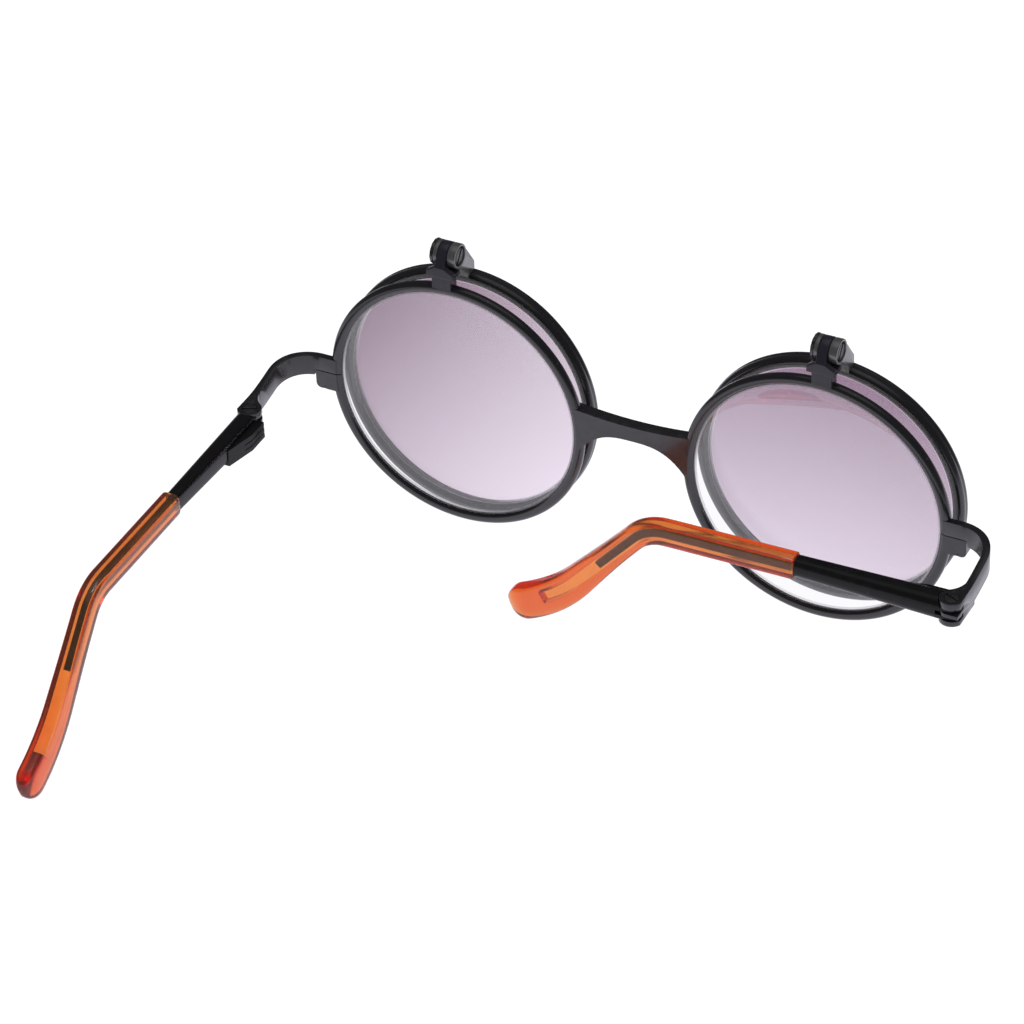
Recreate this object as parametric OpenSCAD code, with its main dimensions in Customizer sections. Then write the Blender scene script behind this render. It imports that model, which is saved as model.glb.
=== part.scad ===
// Small round flip-up sunglasses: two clear lenses in a wire front, two tinted
// lenses that flip up on barrel hinges, and folding temples with bent ear tips.
// The front faces -Y, the temples run back along +Y, and +X is the wearer's left.
// The origin is the centre of the bridge's flat rear face.

/* [Front frame] */
// Distance between the centres of the two round rims
rim_spacing = 42.6; // [40:0.1:46]
// Outside diameter of a back rim
rim_d = 30.5; // [28:0.1:32]
// Radial width of the back rim's wire
rim_width = 1.05; // [0.9:0.05:1.3]
// Depth of the back rim's wire, from back to front
rim_depth = 1.15; // [1:0.05:1.4]
// Rounding of the rim wire's corners
rim_round = 0.36; // [0.2:0.02:0.44]
// Height of the bridge at its middle
bridge_h = 1.8; // [1.4:0.1:2.2]
// Depth of the bridge, from back to front
bridge_depth = 1.45; // [1.2:0.05:1.8]
// How far the bridge's underside flares down to meet the rims
bridge_flare = 4.2; // [3.4:0.1:4.8]
// Height of the bridge's middle above the rim centres
bridge_rise = 2.35; // [2:0.05:2.8]

/* [Lenses] */
// Depth of the V groove that holds a lens in its rim
groove_depth = 0.4; // [0.3:0.05:0.5]
// Thickness of a clear lens
clear_t = 0.7; // [0.5:0.05:0.8]
// Thickness of a tinted lens
tint_t = 0.7; // [0.5:0.05:0.8]
// Radius of the sphere that the lenses are curved to
lens_base_r = 95; // [80:1:200]

/* [Rim locks and end arms] */
// How far a rim lock block reaches out from its rim
lock_reach = 2.05; // [1.8:0.05:2.4]
// Height of the lower half of a rim lock
lock_lower_h = 2.2; // [1.9:0.05:2.4]
// Height of the upper half of a rim lock
lock_upper_h = 1.75; // [1.6:0.05:2]
// Depth of the lower half of a rim lock
lock_depth = 1.15; // [1:0.05:1.4]
// Saw gap between the two halves of a rim lock
lock_gap = 0.12; // [0.06:0.02:0.2]
// How far the end arm's outer face lies beyond its rim
arm_reach = 5.85; // [5.4:0.05:6.6]
// Outside radius of the bend in an end arm
arm_bend_r = 4.5; // [3.8:0.1:4.8]
// Thickness of an end arm's band
arm_t = 0.8; // [0.7:0.05:0.95]
// Height of an end arm's band
arm_h = 2.45; // [2.2:0.05:2.7]
// How far back the temple hinge lies from the rims' rear face
hinge_back = 10.2; // [9.8:0.1:12]
// How far the end arm drops from the lock to the temple hinge
arm_drop = 1.2; // [0.8:0.05:1.6]

/* [Temple hinges] */
// Distance from the end arm's outer face in to the hinge screw
hinge_inset = 1.2; // [1.15:0.05:1.35]
// Height of the hinge, over its three ears
hinge_h = 2.8; // [2.7:0.05:3.1]
// Radius of the hinge's round ears
ear_r = 1.35; // [1.3:0.05:1.6]
// Thickness of the top ear, which takes the screw's head
ear_t = 0.75; // [0.65:0.05:0.85]
// Height of the middle ear and of each of the temple's two tongues
knuckle_h = 0.42; // [0.38:0.02:0.46]
// Radius of the temple's tongues
tongue_r = 1.14; // [1:0.02:1.14]
// Radius of the fillet that leads the band into the ears
gusset_r = 2.5; // [2:0.1:3]
// Radius of the hinge screw's shaft
hinge_pin_r = 0.45; // [0.35:0.01:0.5]
// Radius of the hinge screw's head
hinge_head_r = 0.8; // [0.7:0.05:0.9]
// Height of the hinge screw's head
hinge_head_h = 0.35; // [0.25:0.05:0.45]

/* [Temples] */
// Length of the metal arm, from the hinge to the ear tip
arm_len = 17.2; // [15:0.1:22]
// Distance from the hinge to the bend behind the ear
bend_dist = 34.2; // [30:0.1:42]
// Length from the bend to the end of the ear tip
tip_len = 22.4; // [20:0.1:26]
// Angle at the bend behind the ear
bend_deg = 48; // [40:1:55]
// Angle below level at the very end of the ear tip
tip_end_deg = 18; // [15:1:40]
// Radius of the bend behind the ear
bend_r = 5; // [4:0.1:6]
// Height of the temple where it meets the hinge
temple_hinge_h = 2.8; // [2.7:0.05:3.1]
// Height of the metal arm where the ear tip starts
temple_h = 2.2; // [2:0.05:2.5]
// Width of the temple where it meets the hinge
temple_hinge_w = 2.4; // [2.3:0.05:2.5]
// Width of the metal arm where the ear tip starts
temple_w = 1.8; // [1.6:0.05:2]
// Height of the straight part of an ear tip
tip_h = 2.7; // [2.6:0.05:3.1]
// Thickness of an ear tip
tip_t = 2.2; // [2:0.05:2.5]
// Greatest height of the ear tip's paddle end
paddle_h = 4.1; // [3.4:0.05:4.4]
// Height of the core wire inside an ear tip
core_h = 1.3; // [1:0.05:1.5]
// Thickness of the core wire inside an ear tip
core_t = 0.9; // [0.7:0.05:1.1]
// How far the core wire runs on past the bend
core_past_bend = 8.5; // [6:0.1:10]
// How far the hollow for the core wire runs on past the bend
hollow_past_bend = 17.8; // [14:0.1:18]

/* [Flip-up lenses] */
// Outside diameter of a flip-up rim
flip_d = 30.6; // [28:0.1:31]
// Radial width of the flip-up rim's wire
flip_width = 1.25; // [1.05:0.05:1.4]
// Depth of the flip-up rim's wire
flip_depth = 1.35; // [1.2:0.05:1.5]
// Gap from the back rim's front to the flip-up rim when they lie parallel
flip_gap = 2.35; // [2.2:0.05:2.8]
// Tilt of the left flip-up rim as it was left, bottom inwards positive
flip_tilt_left_deg = 2.3; // [-1:0.1:2.6]
// Tilt of the right flip-up rim as it was left, bottom inwards positive
flip_tilt_right_deg = -0.7; // [-1:0.1:2.6]

/* [Flip hinges] */
// How far the flip hinge sits outboard of the rim's centre
flip_offset = 0.85; // [0:0.05:1.2]
// Height of the flip hinge's axis above the top of the back rim
flip_axis_rise = 3.35; // [3.2:0.05:3.8]
// Distance of the flip hinge's axis in front of the rims' rear face
flip_axis_front = 1.7; // [1.5:0.05:2]
// Outside radius of the flip hinge's barrel
barrel_r = 1.4; // [1.3:0.02:1.5]
// Length of the knuckle that holds the screw head
head_knuckle_l = 0.95; // [0.85:0.05:1.1]
// Length of the middle knuckle on the post
post_knuckle_l = 1.1; // [1:0.05:1.3]
// Length of the knuckle beside the nut
nut_knuckle_l = 0.5; // [0.4:0.05:0.6]
// Length of the nut on the end of the flip screw
nut_l = 0.36; // [0.3:0.02:0.5]
// Radius of the flip screw's shaft
flip_pin_r = 0.42; // [0.34:0.01:0.5]
// Radius of the flip screw's head
flip_head_r = 0.92; // [0.8:0.02:1]
// Width of the hinge post's block and of the foot under it
post_w = 3.2; // [2.9:0.1:3.6]
// Height of the foot between the back rim and the post
foot_h = 1.4; // [1.2:0.05:1.5]

/* [Pose as photographed] */
// Fold of the right temple, where 90 lies straight across the front
fold_right_deg = 89; // [85:0.5:91]
// Fold of the left temple, where 0 is fully open
fold_left_deg = 0.5; // [0:0.5:10]

/* [Hidden] */
$fn = 96;

// Colours of the real finishes
black_metal = [0.09, 0.09, 0.1];
screw_metal = [0.2, 0.2, 0.21];
clear_glass = [0.93, 0.95, 0.97, 0.25];
tinted_glass = [0.55, 0.43, 0.52, 0.6];
orange_plastic = [0.85, 0.38, 0.12];

// Clearances and the overrun of every cut
run_clear = 0.05;
side_clear = 0.05;
seat_clear = 0.03;
swing_clear = 0.08;
cut = 1;

// Sides of the front
LEFT = 1;
RIGHT = -1;

// Places of the rims
rim_r = rim_d / 2;
rim_in_r = rim_r - rim_width;
ring_x = rim_spacing / 2;
ring_z = -bridge_rise;
flip_r = flip_d / 2;
flip_in_r = flip_r - flip_width;

// Share of the wire's width that a brazed part laps over
lap_share = 0.5;
// Shares of the rim wire's depth and of its groove
groove_half_share = 0.26;
flip_round_share = 0.3;

// Lens seats
lens_r = rim_in_r + groove_depth - seat_clear;
flip_lens_r = flip_in_r + groove_depth - seat_clear;

// Places of the end arm and of the temple hinge
arm_out_x = ring_x + rim_r + arm_reach;
arm_top_z = ring_z + lock_gap / 2 + lock_upper_h;
hinge_x = arm_out_x - hinge_inset;
hinge_y = hinge_back;
hinge_top_z = arm_top_z - arm_drop;
hinge_low_z = hinge_top_z - hinge_h;
upper_tongue_z = hinge_top_z - ear_t - side_clear - knuckle_h;
middle_ear_z = upper_tongue_z - side_clear - knuckle_h;
lower_tongue_z = middle_ear_z - side_clear - knuckle_h;
tongue_zs = [lower_tongue_z, upper_tongue_z];

// Places of the flip hinge
flip_axis_y = -flip_axis_front;
flip_axis_z = ring_z + rim_r + flip_axis_rise;
flip_rear_y = -rim_depth - flip_gap;
flip_mid_y = flip_rear_y - flip_depth / 2;
barrel_l = head_knuckle_l + post_knuckle_l + nut_knuckle_l + nut_l + 2 * side_clear;
head_end_x = -barrel_l / 2;
post_start_x = head_end_x + head_knuckle_l + side_clear;
nut_knuckle_x = post_start_x + post_knuckle_l + side_clear;
nut_start_x = nut_knuckle_x + nut_knuckle_l;

// Puts children at a rim's centre, with the rim's axis along Y, moved to a depth
module at_ring(side, y) {
    translate([side * ring_x, y, ring_z]) rotate([90, 0, 0]) children();
}

// Puts children at a flip hinge, where the origin is the hinge axis
module at_flip_axis(side) {
    translate([side * (ring_x + flip_offset), flip_axis_y, flip_axis_z]) children();
}

function flip_tilt(side) = side == LEFT ? flip_tilt_left_deg : flip_tilt_right_deg;

// Puts children with a flip-up lens, swung to the tilt that it was left at
module at_flip(side) {
    at_flip_axis(side) rotate([flip_tilt(side), 0, 0]) children();
}

// Puts children that are drawn for the left side at either side, mirrored for the right
module for_side(side) {
    if (side == LEFT) children();
    else mirror([1, 0, 0]) children();
}

// Rounded rectangle about its centre
module round_rect(w, h, r) {
    square([w - 2 * r, h], center = true);
    square([w, h - 2 * r], center = true);
    for (x = [-1, 1], y = [-1, 1])
        translate([x * (w / 2 - r), y * (h / 2 - r)]) circle(r = r, $fn = 32);
}

// Round wire ring about Z, centred on its own depth
module wire_ring(r_out, width, depth, rounding) {
    rotate_extrude() translate([r_out - width / 2, 0]) round_rect(width, depth, rounding);
}

// Ring that fills a V groove of the given half width, carried on inwards past the wire
module groove_ring(r_in, half_w) {
    rotate_extrude() polygon([
        [r_in - groove_depth, half_w * 2],
        [r_in + groove_depth, 0],
        [r_in - groove_depth, -half_w * 2]
    ]);
}

// A back rim without its saw cut, about its own axis
module back_ring() {
    wire_ring(rim_r, rim_width, rim_depth, rim_round);
}

// The space that a brazed part has to leave for a back rim
module back_ring_seat(side) {
    at_ring(side, -rim_depth / 2) {
        back_ring();
        cylinder(r = rim_r - rim_width * lap_share, h = 4 * lock_depth, center = true);
    }
}

module rim(side) {
    color(black_metal) difference() {
        at_ring(side, -rim_depth / 2) difference() {
            back_ring();
            groove_ring(rim_in_r, rim_depth * groove_half_share);
        }
        translate([side * (ring_x + rim_r - rim_width / 2), -rim_depth / 2, ring_z])
            cube([rim_width + 2 * cut, rim_depth + 2 * cut, lock_gap], center = true);
    }
}

// Lens with a V edge, about Z, curved towards +Z
module lens_blank(edge_r, body_r, half_v, t) {
    drop = sqrt(lens_base_r * lens_base_r - edge_r * edge_r);
    sag = lens_base_r - drop;
    intersection() {
        rotate_extrude() polygon([
            [0, -t - sag],
            [body_r, -t - sag],
            [body_r, -half_v],
            [edge_r, 0],
            [body_r, half_v],
            [body_r, t + sag],
            [0, t + sag]
        ]);
        translate([0, 0, -drop]) difference() {
            sphere(r = lens_base_r + t / 2);
            sphere(r = lens_base_r - t / 2);
        }
    }
}

module clear_lens(side) {
    half_v = rim_depth * groove_half_share * (groove_depth - seat_clear) / groove_depth;
    color(clear_glass) at_ring(side, -rim_depth / 2)
        lens_blank(lens_r, rim_in_r - seat_clear, half_v, clear_t);
}

// Half outline of the bridge, from the middle out to one rim
bridge_steps = 14;
bridge_top_flare_share = 0.12;
bridge_end_x = ring_x - rim_r + rim_width;

function bridge_low(x) = -bridge_h / 2 - bridge_flare * pow(x / bridge_end_x, 3);
function bridge_top(x) = bridge_h / 2 + bridge_flare * bridge_top_flare_share * pow(x / bridge_end_x, 2);

module bridge() {
    xs = [for (i = [-bridge_steps:bridge_steps]) bridge_end_x * i / bridge_steps];
    outline = concat(
        [for (x = xs) [x, bridge_low(abs(x))]],
        [for (i = [len(xs) - 1:-1:0]) [xs[i], bridge_top(abs(xs[i]))]]
    );
    color(black_metal) difference() {
        rotate([90, 0, 0]) linear_extrude(height = bridge_depth) polygon(outline);
        back_ring_seat(LEFT);
        back_ring_seat(RIGHT);
    }
}

// Rim lock, whose two halves are drawn together by a screw from below
lock_proud = 0.06;
lock_round = 0.6;
lock_screw_r = 0.24;
lock_head_r = 0.4;
lock_head_h = 0.26;
lock_screw_l = 2.9;
lock_in_x = ring_x + rim_r - rim_width;
lock_out_x = ring_x + rim_r + lock_reach;
lock_screw_x = ring_x + rim_r + lock_reach / 2;
lock_screw_y = lock_proud - arm_t / 2;
lock_low_z = ring_z - lock_gap / 2 - lock_lower_h;

module lock_outline() {
    w = lock_out_x - lock_in_x;
    translate([0, lock_round]) square([w, lock_lower_h - lock_round]);
    square([w - lock_round, lock_lower_h]);
    translate([w - lock_round, lock_round]) circle(r = lock_round, $fn = 48);
}

module lock_lower(side) {
    color(black_metal) difference() {
        for_side(side) difference() {
            translate([lock_in_x, lock_proud, lock_low_z]) rotate([90, 0, 0])
                linear_extrude(height = lock_depth) lock_outline();
            translate([lock_screw_x, lock_screw_y, lock_low_z - cut]) {
                cylinder(r = lock_screw_r + seat_clear, h = lock_lower_h + 2 * cut, $fn = 48);
                cylinder(r = lock_head_r + seat_clear, h = cut + lock_head_h, $fn = 48);
            }
        }
        back_ring_seat(side);
    }
}

// Slotted screw pointing up, with the underside of its head at zero
slot_w_share = 0.3;
slot_d_share = 0.55;

module slotted_screw(shaft_r, shaft_l, head_r, head_h) {
    slot_w = head_r * slot_w_share;
    slot_d = head_h * slot_d_share;
    difference() {
        union() {
            cylinder(r = shaft_r, h = shaft_l, $fn = 48);
            translate([0, 0, -head_h]) cylinder(r = head_r, h = head_h, $fn = 64);
        }
        translate([-head_r - cut, -slot_w / 2, -head_h - cut])
            cube([2 * head_r + 2 * cut, slot_w, slot_d + cut]);
    }
}

module lock_screw(side) {
    color(screw_metal) translate([side * lock_screw_x, lock_screw_y, lock_low_z + lock_head_h])
        slotted_screw(lock_screw_r, lock_screw_l, lock_head_r, lock_head_h);
}

// End arm, drawn for the left side: the lock's upper half runs on as a band that bends
// back and drops to the hinge, where a fillet leads it into three round ears
arm_bend_x = arm_out_x - arm_bend_r;
arm_bend_y = lock_proud - arm_t + arm_bend_r;
arm_steps = 16;
drop_steps = 12;
drop_end_share = 0.85;
drop_start_y = lock_proud;
drop_end_y = hinge_y * drop_end_share;

function arc_points(x, y, r, from, to, steps) =
    [for (i = [0:steps]) [x + r * cos(from + (to - from) * i / steps),
                          y + r * sin(from + (to - from) * i / steps)]];

module band_plan() {
    polygon(concat(
        [[lock_in_x, lock_proud - arm_t]],
        arc_points(arm_bend_x, arm_bend_y, arm_bend_r, -90, 0, arm_steps),
        [[arm_out_x, hinge_y], [arm_out_x - arm_t, hinge_y]],
        arc_points(arm_bend_x, arm_bend_y, arm_bend_r - arm_t, 0, -90, arm_steps),
        [[lock_in_x, lock_proud]]
    ));
}

// Height of the arm's top edge at a distance back, eased from the lock to the hinge
function ease(t) = (1 - cos(180 * max(0, min(1, t)))) / 2;
function arm_top(y) = arm_top_z - arm_drop * ease((y - drop_start_y) / (drop_end_y - drop_start_y));

module band_side() {
    span = drop_end_y - drop_start_y;
    ys = [for (i = [0:drop_steps]) drop_start_y + span * i / drop_steps];
    front = lock_proud - 2 * arm_t;
    back = hinge_y + 2 * ear_r;
    polygon(concat(
        [[front, arm_top(front)]],
        [for (y = ys) [y, arm_top(y)]],
        [[back, arm_top(back)], [back, arm_top(back) - arm_h]],
        [for (i = [len(ys) - 1:-1:0]) [ys[i], arm_top(ys[i]) - arm_h]],
        [[front, arm_top(front) - arm_h]]
    ));
}

module arm_band() {
    difference() {
        intersection() {
            translate([0, 0, hinge_low_z - cut])
                linear_extrude(height = arm_top_z - hinge_low_z + 2 * cut) band_plan();
            rotate([90, 0, 90]) linear_extrude(height = arm_out_x + cut) band_side();
        }
        translate([lock_in_x - cut, lock_proud - arm_t - cut, arm_top_z - lock_upper_h - 2 * arm_h])
            cube([lock_out_x - lock_in_x + lock_gap + cut, arm_t + 2 * cut, 2 * arm_h]);
    }
}

// Plan of one ear about its screw: a disc cut flush with the arm's outer face and a filleted root
gusset_x = hinge_inset - arm_t - gusset_r;
gusset_y = -sqrt(pow(ear_r + gusset_r, 2) - pow(gusset_x, 2));

module ear_plan() {
    touch = ear_r / (ear_r + gusset_r);
    difference() {
        union() {
            circle(r = ear_r);
            polygon([
                [0, 0],
                [gusset_x * touch, gusset_y * touch],
                [hinge_inset - arm_t, gusset_y],
                [hinge_inset, gusset_y],
                [hinge_inset, 0]
            ]);
        }
        translate([gusset_x, gusset_y]) circle(r = gusset_r);
        translate([hinge_inset, -2 * ear_r]) square([ear_r, 4 * ear_r]);
    }
}

// The middle ear keeps its square corner, which stops the temple when it is open
module arm_ears() {
    translate([hinge_x, hinge_y, hinge_low_z]) linear_extrude(height = hinge_h) ear_plan();
    translate([hinge_x, hinge_y, middle_ear_z]) cube([hinge_inset, ear_r, knuckle_h]);
}

// Room in which the temple's two tongues swing between the ears
module tongue_room() {
    room_h = knuckle_h + 2 * side_clear;
    room_r = tongue_r + swing_clear;
    for (z = tongue_zs) translate([hinge_x, hinge_y, z - side_clear]) {
        cylinder(r = room_r, h = room_h);
        translate([-2 * ear_r, 0, 0]) cube([4 * ear_r, 2 * ear_r, room_h]);
        translate([-2 * ear_r, -room_r, 0]) cube([2 * ear_r, 2 * ear_r, room_h]);
    }
}

module end_arm(side) {
    tap_h = lock_screw_l + lock_head_h - lock_lower_h;
    color(black_metal) difference() {
        for_side(side) difference() {
            union() {
                arm_band();
                arm_ears();
            }
            tongue_room();
            translate([hinge_x, hinge_y, hinge_low_z - cut])
                cylinder(r = hinge_pin_r, h = hinge_h + 2 * cut, $fn = 48);
            translate([hinge_x, hinge_y, hinge_top_z - hinge_head_h])
                cylinder(r = hinge_head_r + seat_clear, h = hinge_head_h + cut, $fn = 64);
            translate([lock_screw_x, lock_screw_y, ring_z - cut])
                cylinder(r = lock_screw_r, h = cut + tap_h, $fn = 48);
        }
        back_ring_seat(side);
    }
}

temple_slot_deg = 25;

module temple_screw(side) {
    color(screw_metal) translate([side * hinge_x, hinge_y, hinge_top_z - hinge_head_h])
        rotate([180, 0, side * temple_slot_deg])
            slotted_screw(hinge_pin_r, hinge_h - hinge_head_h, hinge_head_r, hinge_head_h);
}

// Path of a temple seen from its side, as distance back and height, by length along it
path_bend_half = bend_r * tan(bend_deg / 2);
path_s1 = bend_dist - path_bend_half;
path_s2 = path_s1 + bend_r * bend_deg * PI / 180;
tip_straight_share = 0.5;
path_s3 = path_s2 + (tip_len - path_bend_half) * tip_straight_share;
path_s4 = path_s2 + tip_len - path_bend_half;
path_end_r = (path_s4 - path_s3) / ((bend_deg - tip_end_deg) * PI / 180);

function path_angle(s) =
    s <= path_s1 ? 0 :
    s <= path_s2 ? (s - path_s1) / bend_r * 180 / PI :
    s <= path_s3 ? bend_deg :
    bend_deg - (s - path_s3) / path_end_r * 180 / PI;

function bend_point(a) = [path_s1 + bend_r * sin(a), -bend_r * (1 - cos(a))];
function straight_point(s) = bend_point(bend_deg)
    + (s - path_s2) * [cos(bend_deg), -sin(bend_deg)];
function path_point(s) =
    s <= path_s1 ? [s, 0] :
    s <= path_s2 ? bend_point(path_angle(s)) :
    s <= path_s3 ? straight_point(s) :
    straight_point(path_s3) + path_end_r * [
        sin(bend_deg) - sin(path_angle(s)),
        cos(bend_deg) - cos(path_angle(s))
    ];
function path_normal(s) = [sin(path_angle(s)), cos(path_angle(s))];

// Height of the temple's middle line, which runs straight back from over the hinge screw
temple_mid_z = hinge_top_z - temple_h / 2;

// Strip of a given height along the path, as points seen from the side
function strip(from, to, h, steps) = concat(
    [for (i = [0:steps]) let (s = from + (to - from) * i / steps) path_point(s) + path_normal(s) * h / 2],
    [for (i = [steps:-1:0]) let (s = from + (to - from) * i / steps) path_point(s) - path_normal(s) * h / 2]
);

module side_strip(from, to, h, t, steps) {
    translate([-t / 2, 0, temple_mid_z]) rotate([90, 0, 90])
        linear_extrude(height = t) polygon(strip(from, to, h, steps));
}

// Closed skin through rings of points that all have the same count
module loft(rings) {
    n = len(rings[0]);
    m = len(rings);
    points = [for (r = rings) each r];
    sides = [for (j = [0:m - 2], i = [0:n - 1], k = [0, 1])
        let (a = j * n + i, b = j * n + (i + 1) % n, c = a + n, d = b + n)
        k == 0 ? [a, b, d] : [a, d, c]];
    polyhedron(
        points = points,
        faces = concat(
            [[for (i = [n - 1:-1:0]) i]],
            sides,
            [[for (i = [0:n - 1]) (m - 1) * n + i]]
        ),
        convexity = 6
    );
}

// Point of a rounded section about its middle, squarer on the inner side than on the outer
function crowned(w, h, a) =
    let (c = cos(a), d = sin(a), p = c > 0 ? bar_out_power : bar_in_power)
    [w / 2 * sign(c) * pow(abs(c), p), h / 2 * sign(d) * pow(abs(d), p)];

bar_sides = 28;
bar_out_power = 0.85;
bar_in_power = 0.45;
bar_ring_shares = [0, 0.35, 0.7, 1];

module arm_bar() {
    start = ear_r / 2;
    hinge_mid = hinge_inset - temple_hinge_w / 2;
    loft([for (t = bar_ring_shares)
        let (
            w = temple_hinge_w + (temple_w - temple_hinge_w) * t,
            h = temple_hinge_h + (temple_h - temple_hinge_h) * t
        )
        [for (i = [0:bar_sides - 1])
            let (q = crowned(w, h, 360 * i / bar_sides))
            [hinge_mid * (1 - t) + q[0], start + (arm_len - start) * t, hinge_top_z - h / 2 + q[1]]]
    ]);
}

// Lug on the temple's inner side, which carries the tongues and is grooved by their saw cuts
lug_in = 2.1;
lug_len = 3.4;
lug_slope = 3.6;
lug_nose_share = 0.5;
kerf_h = 0.12;
kerf_depth = 0.3;

module lug_plan() {
    polygon([
        [0, ear_r],
        [0, lug_len + lug_slope],
        [-temple_hinge_w / 2, lug_len + lug_slope],
        [-lug_in, lug_len],
        [-lug_in, ear_r * lug_nose_share],
        [-ear_r, ear_r * lug_nose_share]
    ]);
}

module lug() {
    low = hinge_top_z - temple_hinge_h;
    top = upper_tongue_z + knuckle_h;
    difference() {
        translate([0, 0, low]) linear_extrude(height = top - low) lug_plan();
        for (z = [lower_tongue_z, middle_ear_z + knuckle_h / 2])
            translate([-lug_in - cut, 0, z - kerf_h / 2])
                cube([cut + kerf_depth, lug_len + lug_slope + cut, kerf_h]);
    }
}

module tongue() {
    difference() {
        union() {
            cylinder(r = tongue_r, h = knuckle_h);
            translate([-tongue_r, 0, 0]) cube([2 * tongue_r, ear_r + 2 * swing_clear, knuckle_h]);
        }
        translate([0, 0, -cut])
            cylinder(r = hinge_pin_r + run_clear, h = knuckle_h + 2 * cut, $fn = 48);
    }
}

core_bend_steps = 8;

// Core wire that runs on inside the ear tip, or the hollow that it seats in
module core(from, past_bend, grow) {
    side_strip(from, path_s1, core_h + grow, core_t + grow, 1);
    side_strip(path_s1, path_s2, core_h + grow, core_t + grow, core_bend_steps);
    side_strip(path_s2, path_s2 + past_bend - path_bend_half, core_h + grow, core_t + grow,
        core_bend_steps);
}

module temple_arm_shape() {
    low = hinge_low_z - temple_hinge_h;
    difference() {
        union() {
            arm_bar();
            lug();
        }
        translate([0, 0, low]) cylinder(r = ear_r + swing_clear, h = 3 * temple_hinge_h);
        translate([0, -ear_r, middle_ear_z - side_clear])
            cube([2 * ear_r, 2 * ear_r + side_clear, knuckle_h + 2 * side_clear]);
    }
    for (z = tongue_zs) translate([0, 0, z]) tongue();
    core(arm_len - core_h, core_past_bend, 0);
}

// Swings a temple, drawn open, by its fold at rest
module at_temple(side) {
    fold = side == LEFT ? fold_left_deg : fold_right_deg;
    for_side(side) translate([hinge_x, hinge_y, 0]) rotate([0, 0, fold]) children();
}

module temple_arm(side) {
    color(black_metal) at_temple(side) temple_arm_shape();
}

// Ear tip: height above and below the path, and thickness, by length along the path
tip_sides = 28;
tip_power = 0.5;
round_end = 2;
tip_up_share = 0.35;
tip_least_share = 0.12;
tip_bend_rings = 7;
tip_flare_rings = 9;
tip_end_rings = 7;

function tip_flare(s) = s < path_s2 ? 0 : ease((s - path_s2) / (path_s4 - round_end - path_s2));
function tip_close(s) =
    let (left = path_s4 - s)
    left >= round_end ? 1 : sqrt(max(0, 1 - pow(1 - left / round_end, 2)));
function tip_up(s) = tip_h / 2 + (paddle_h - tip_h) * tip_up_share * tip_flare(s);
function tip_down(s) = tip_h / 2 + (paddle_h - tip_h) * (1 - tip_up_share) * tip_flare(s);

function tip_ring(s) =
    let (close = max(tip_least_share, tip_close(s)), p = path_point(s), n = path_normal(s))
    [for (i = [0:tip_sides - 1])
        let (
            a = 360 * i / tip_sides,
            c = cos(a),
            d = sin(a),
            x = tip_t / 2 * close * sign(c) * pow(abs(c), tip_power),
            h = (d > 0 ? tip_up(s) : tip_down(s)) * close * sign(d) * pow(abs(d), tip_power),
            q = p + n * h
        )
        [x, q[0], temple_mid_z + q[1]]];

// Stations along the tip, closer together in the bend and at the rounded end
tip_places = concat(
    [arm_len + seat_clear, (arm_len + path_s1) / 2],
    [for (i = [0:tip_bend_rings]) path_s1 + (path_s2 - path_s1) * i / tip_bend_rings],
    [for (i = [1:tip_flare_rings])
        path_s2 + (path_s4 - round_end - path_s2) * i / tip_flare_rings],
    [for (i = [1:tip_end_rings]) path_s4 - round_end + round_end * sin(90 * i / tip_end_rings)]
);

module ear_tip_shape() {
    difference() {
        loft([for (s = tip_places) tip_ring(s)]);
        core(arm_len - cut, hollow_past_bend, 2 * seat_clear);
    }
}

module ear_tip(side) {
    color(orange_plastic) at_temple(side) ear_tip_shape();
}

// Flip hinge foot, brazed on the back rim
foot_rear = 0.3;
foot_front = 1.45;
foot_lap_share = 0.2;

module hinge_foot(side) {
    low = ring_z + rim_r - rim_width * foot_lap_share;
    color(black_metal) difference() {
        translate([side * (ring_x + flip_offset) - post_w / 2, -foot_front, low])
            cube([post_w, foot_front + foot_rear, foot_h + rim_width * foot_lap_share]);
        back_ring_seat(side);
    }
}

// Flip hinge post, drawn about the hinge axis: a low block, shoulders, and the middle knuckle
post_rear = 0.45;
shoulder_share = 0.62;
neck_share = 0.43;
post_top_deg = 38;

module post_side() {
    low = foot_h - flip_axis_rise;
    rear = flip_axis_front + post_rear;
    polygon([
        [flip_axis_front - foot_front, low],
        [rear, low],
        [rear, -barrel_r * neck_share],
        [barrel_r * cos(post_top_deg), barrel_r * sin(post_top_deg)],
        [0, 0],
        [swing_clear, -barrel_r]
    ]);
}

module hinge_post(side) {
    low = foot_h - flip_axis_rise;
    rear = flip_axis_front + post_rear;
    pad_h = -low - barrel_r - swing_clear;
    neck_w = post_knuckle_l;
    mid_x = post_start_x + neck_w / 2;
    color(black_metal) at_flip_axis(side) difference() {
        union() {
            translate([-post_w / 2, -foot_front + flip_axis_front, low])
                cube([post_w, foot_front + post_rear, pad_h]);
            translate([0, rear, 0]) rotate([90, 0, 0])
                linear_extrude(height = rear - barrel_r - swing_clear) polygon([
                    [-post_w / 2, low],
                    [post_w / 2, low],
                    [post_w / 2, low * shoulder_share],
                    [mid_x + neck_w / 2, -barrel_r * neck_share],
                    [mid_x - neck_w / 2, -barrel_r * neck_share],
                    [-post_w / 2, low * shoulder_share]
                ]);
            translate([post_start_x, 0, 0]) rotate([90, 0, 90]) {
                linear_extrude(height = neck_w) post_side();
                cylinder(r = barrel_r, h = neck_w);
            }
        }
        translate([post_start_x - cut, 0, 0]) rotate([0, 90, 0])
            cylinder(r = flip_pin_r + run_clear, h = neck_w + 2 * cut, $fn = 48);
    }
}

// Flip-up parts are drawn about the hinge axis and swung together
flip_ring_dy = flip_mid_y - flip_axis_y;
flip_ring_dz = ring_z - flip_axis_z;

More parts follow.
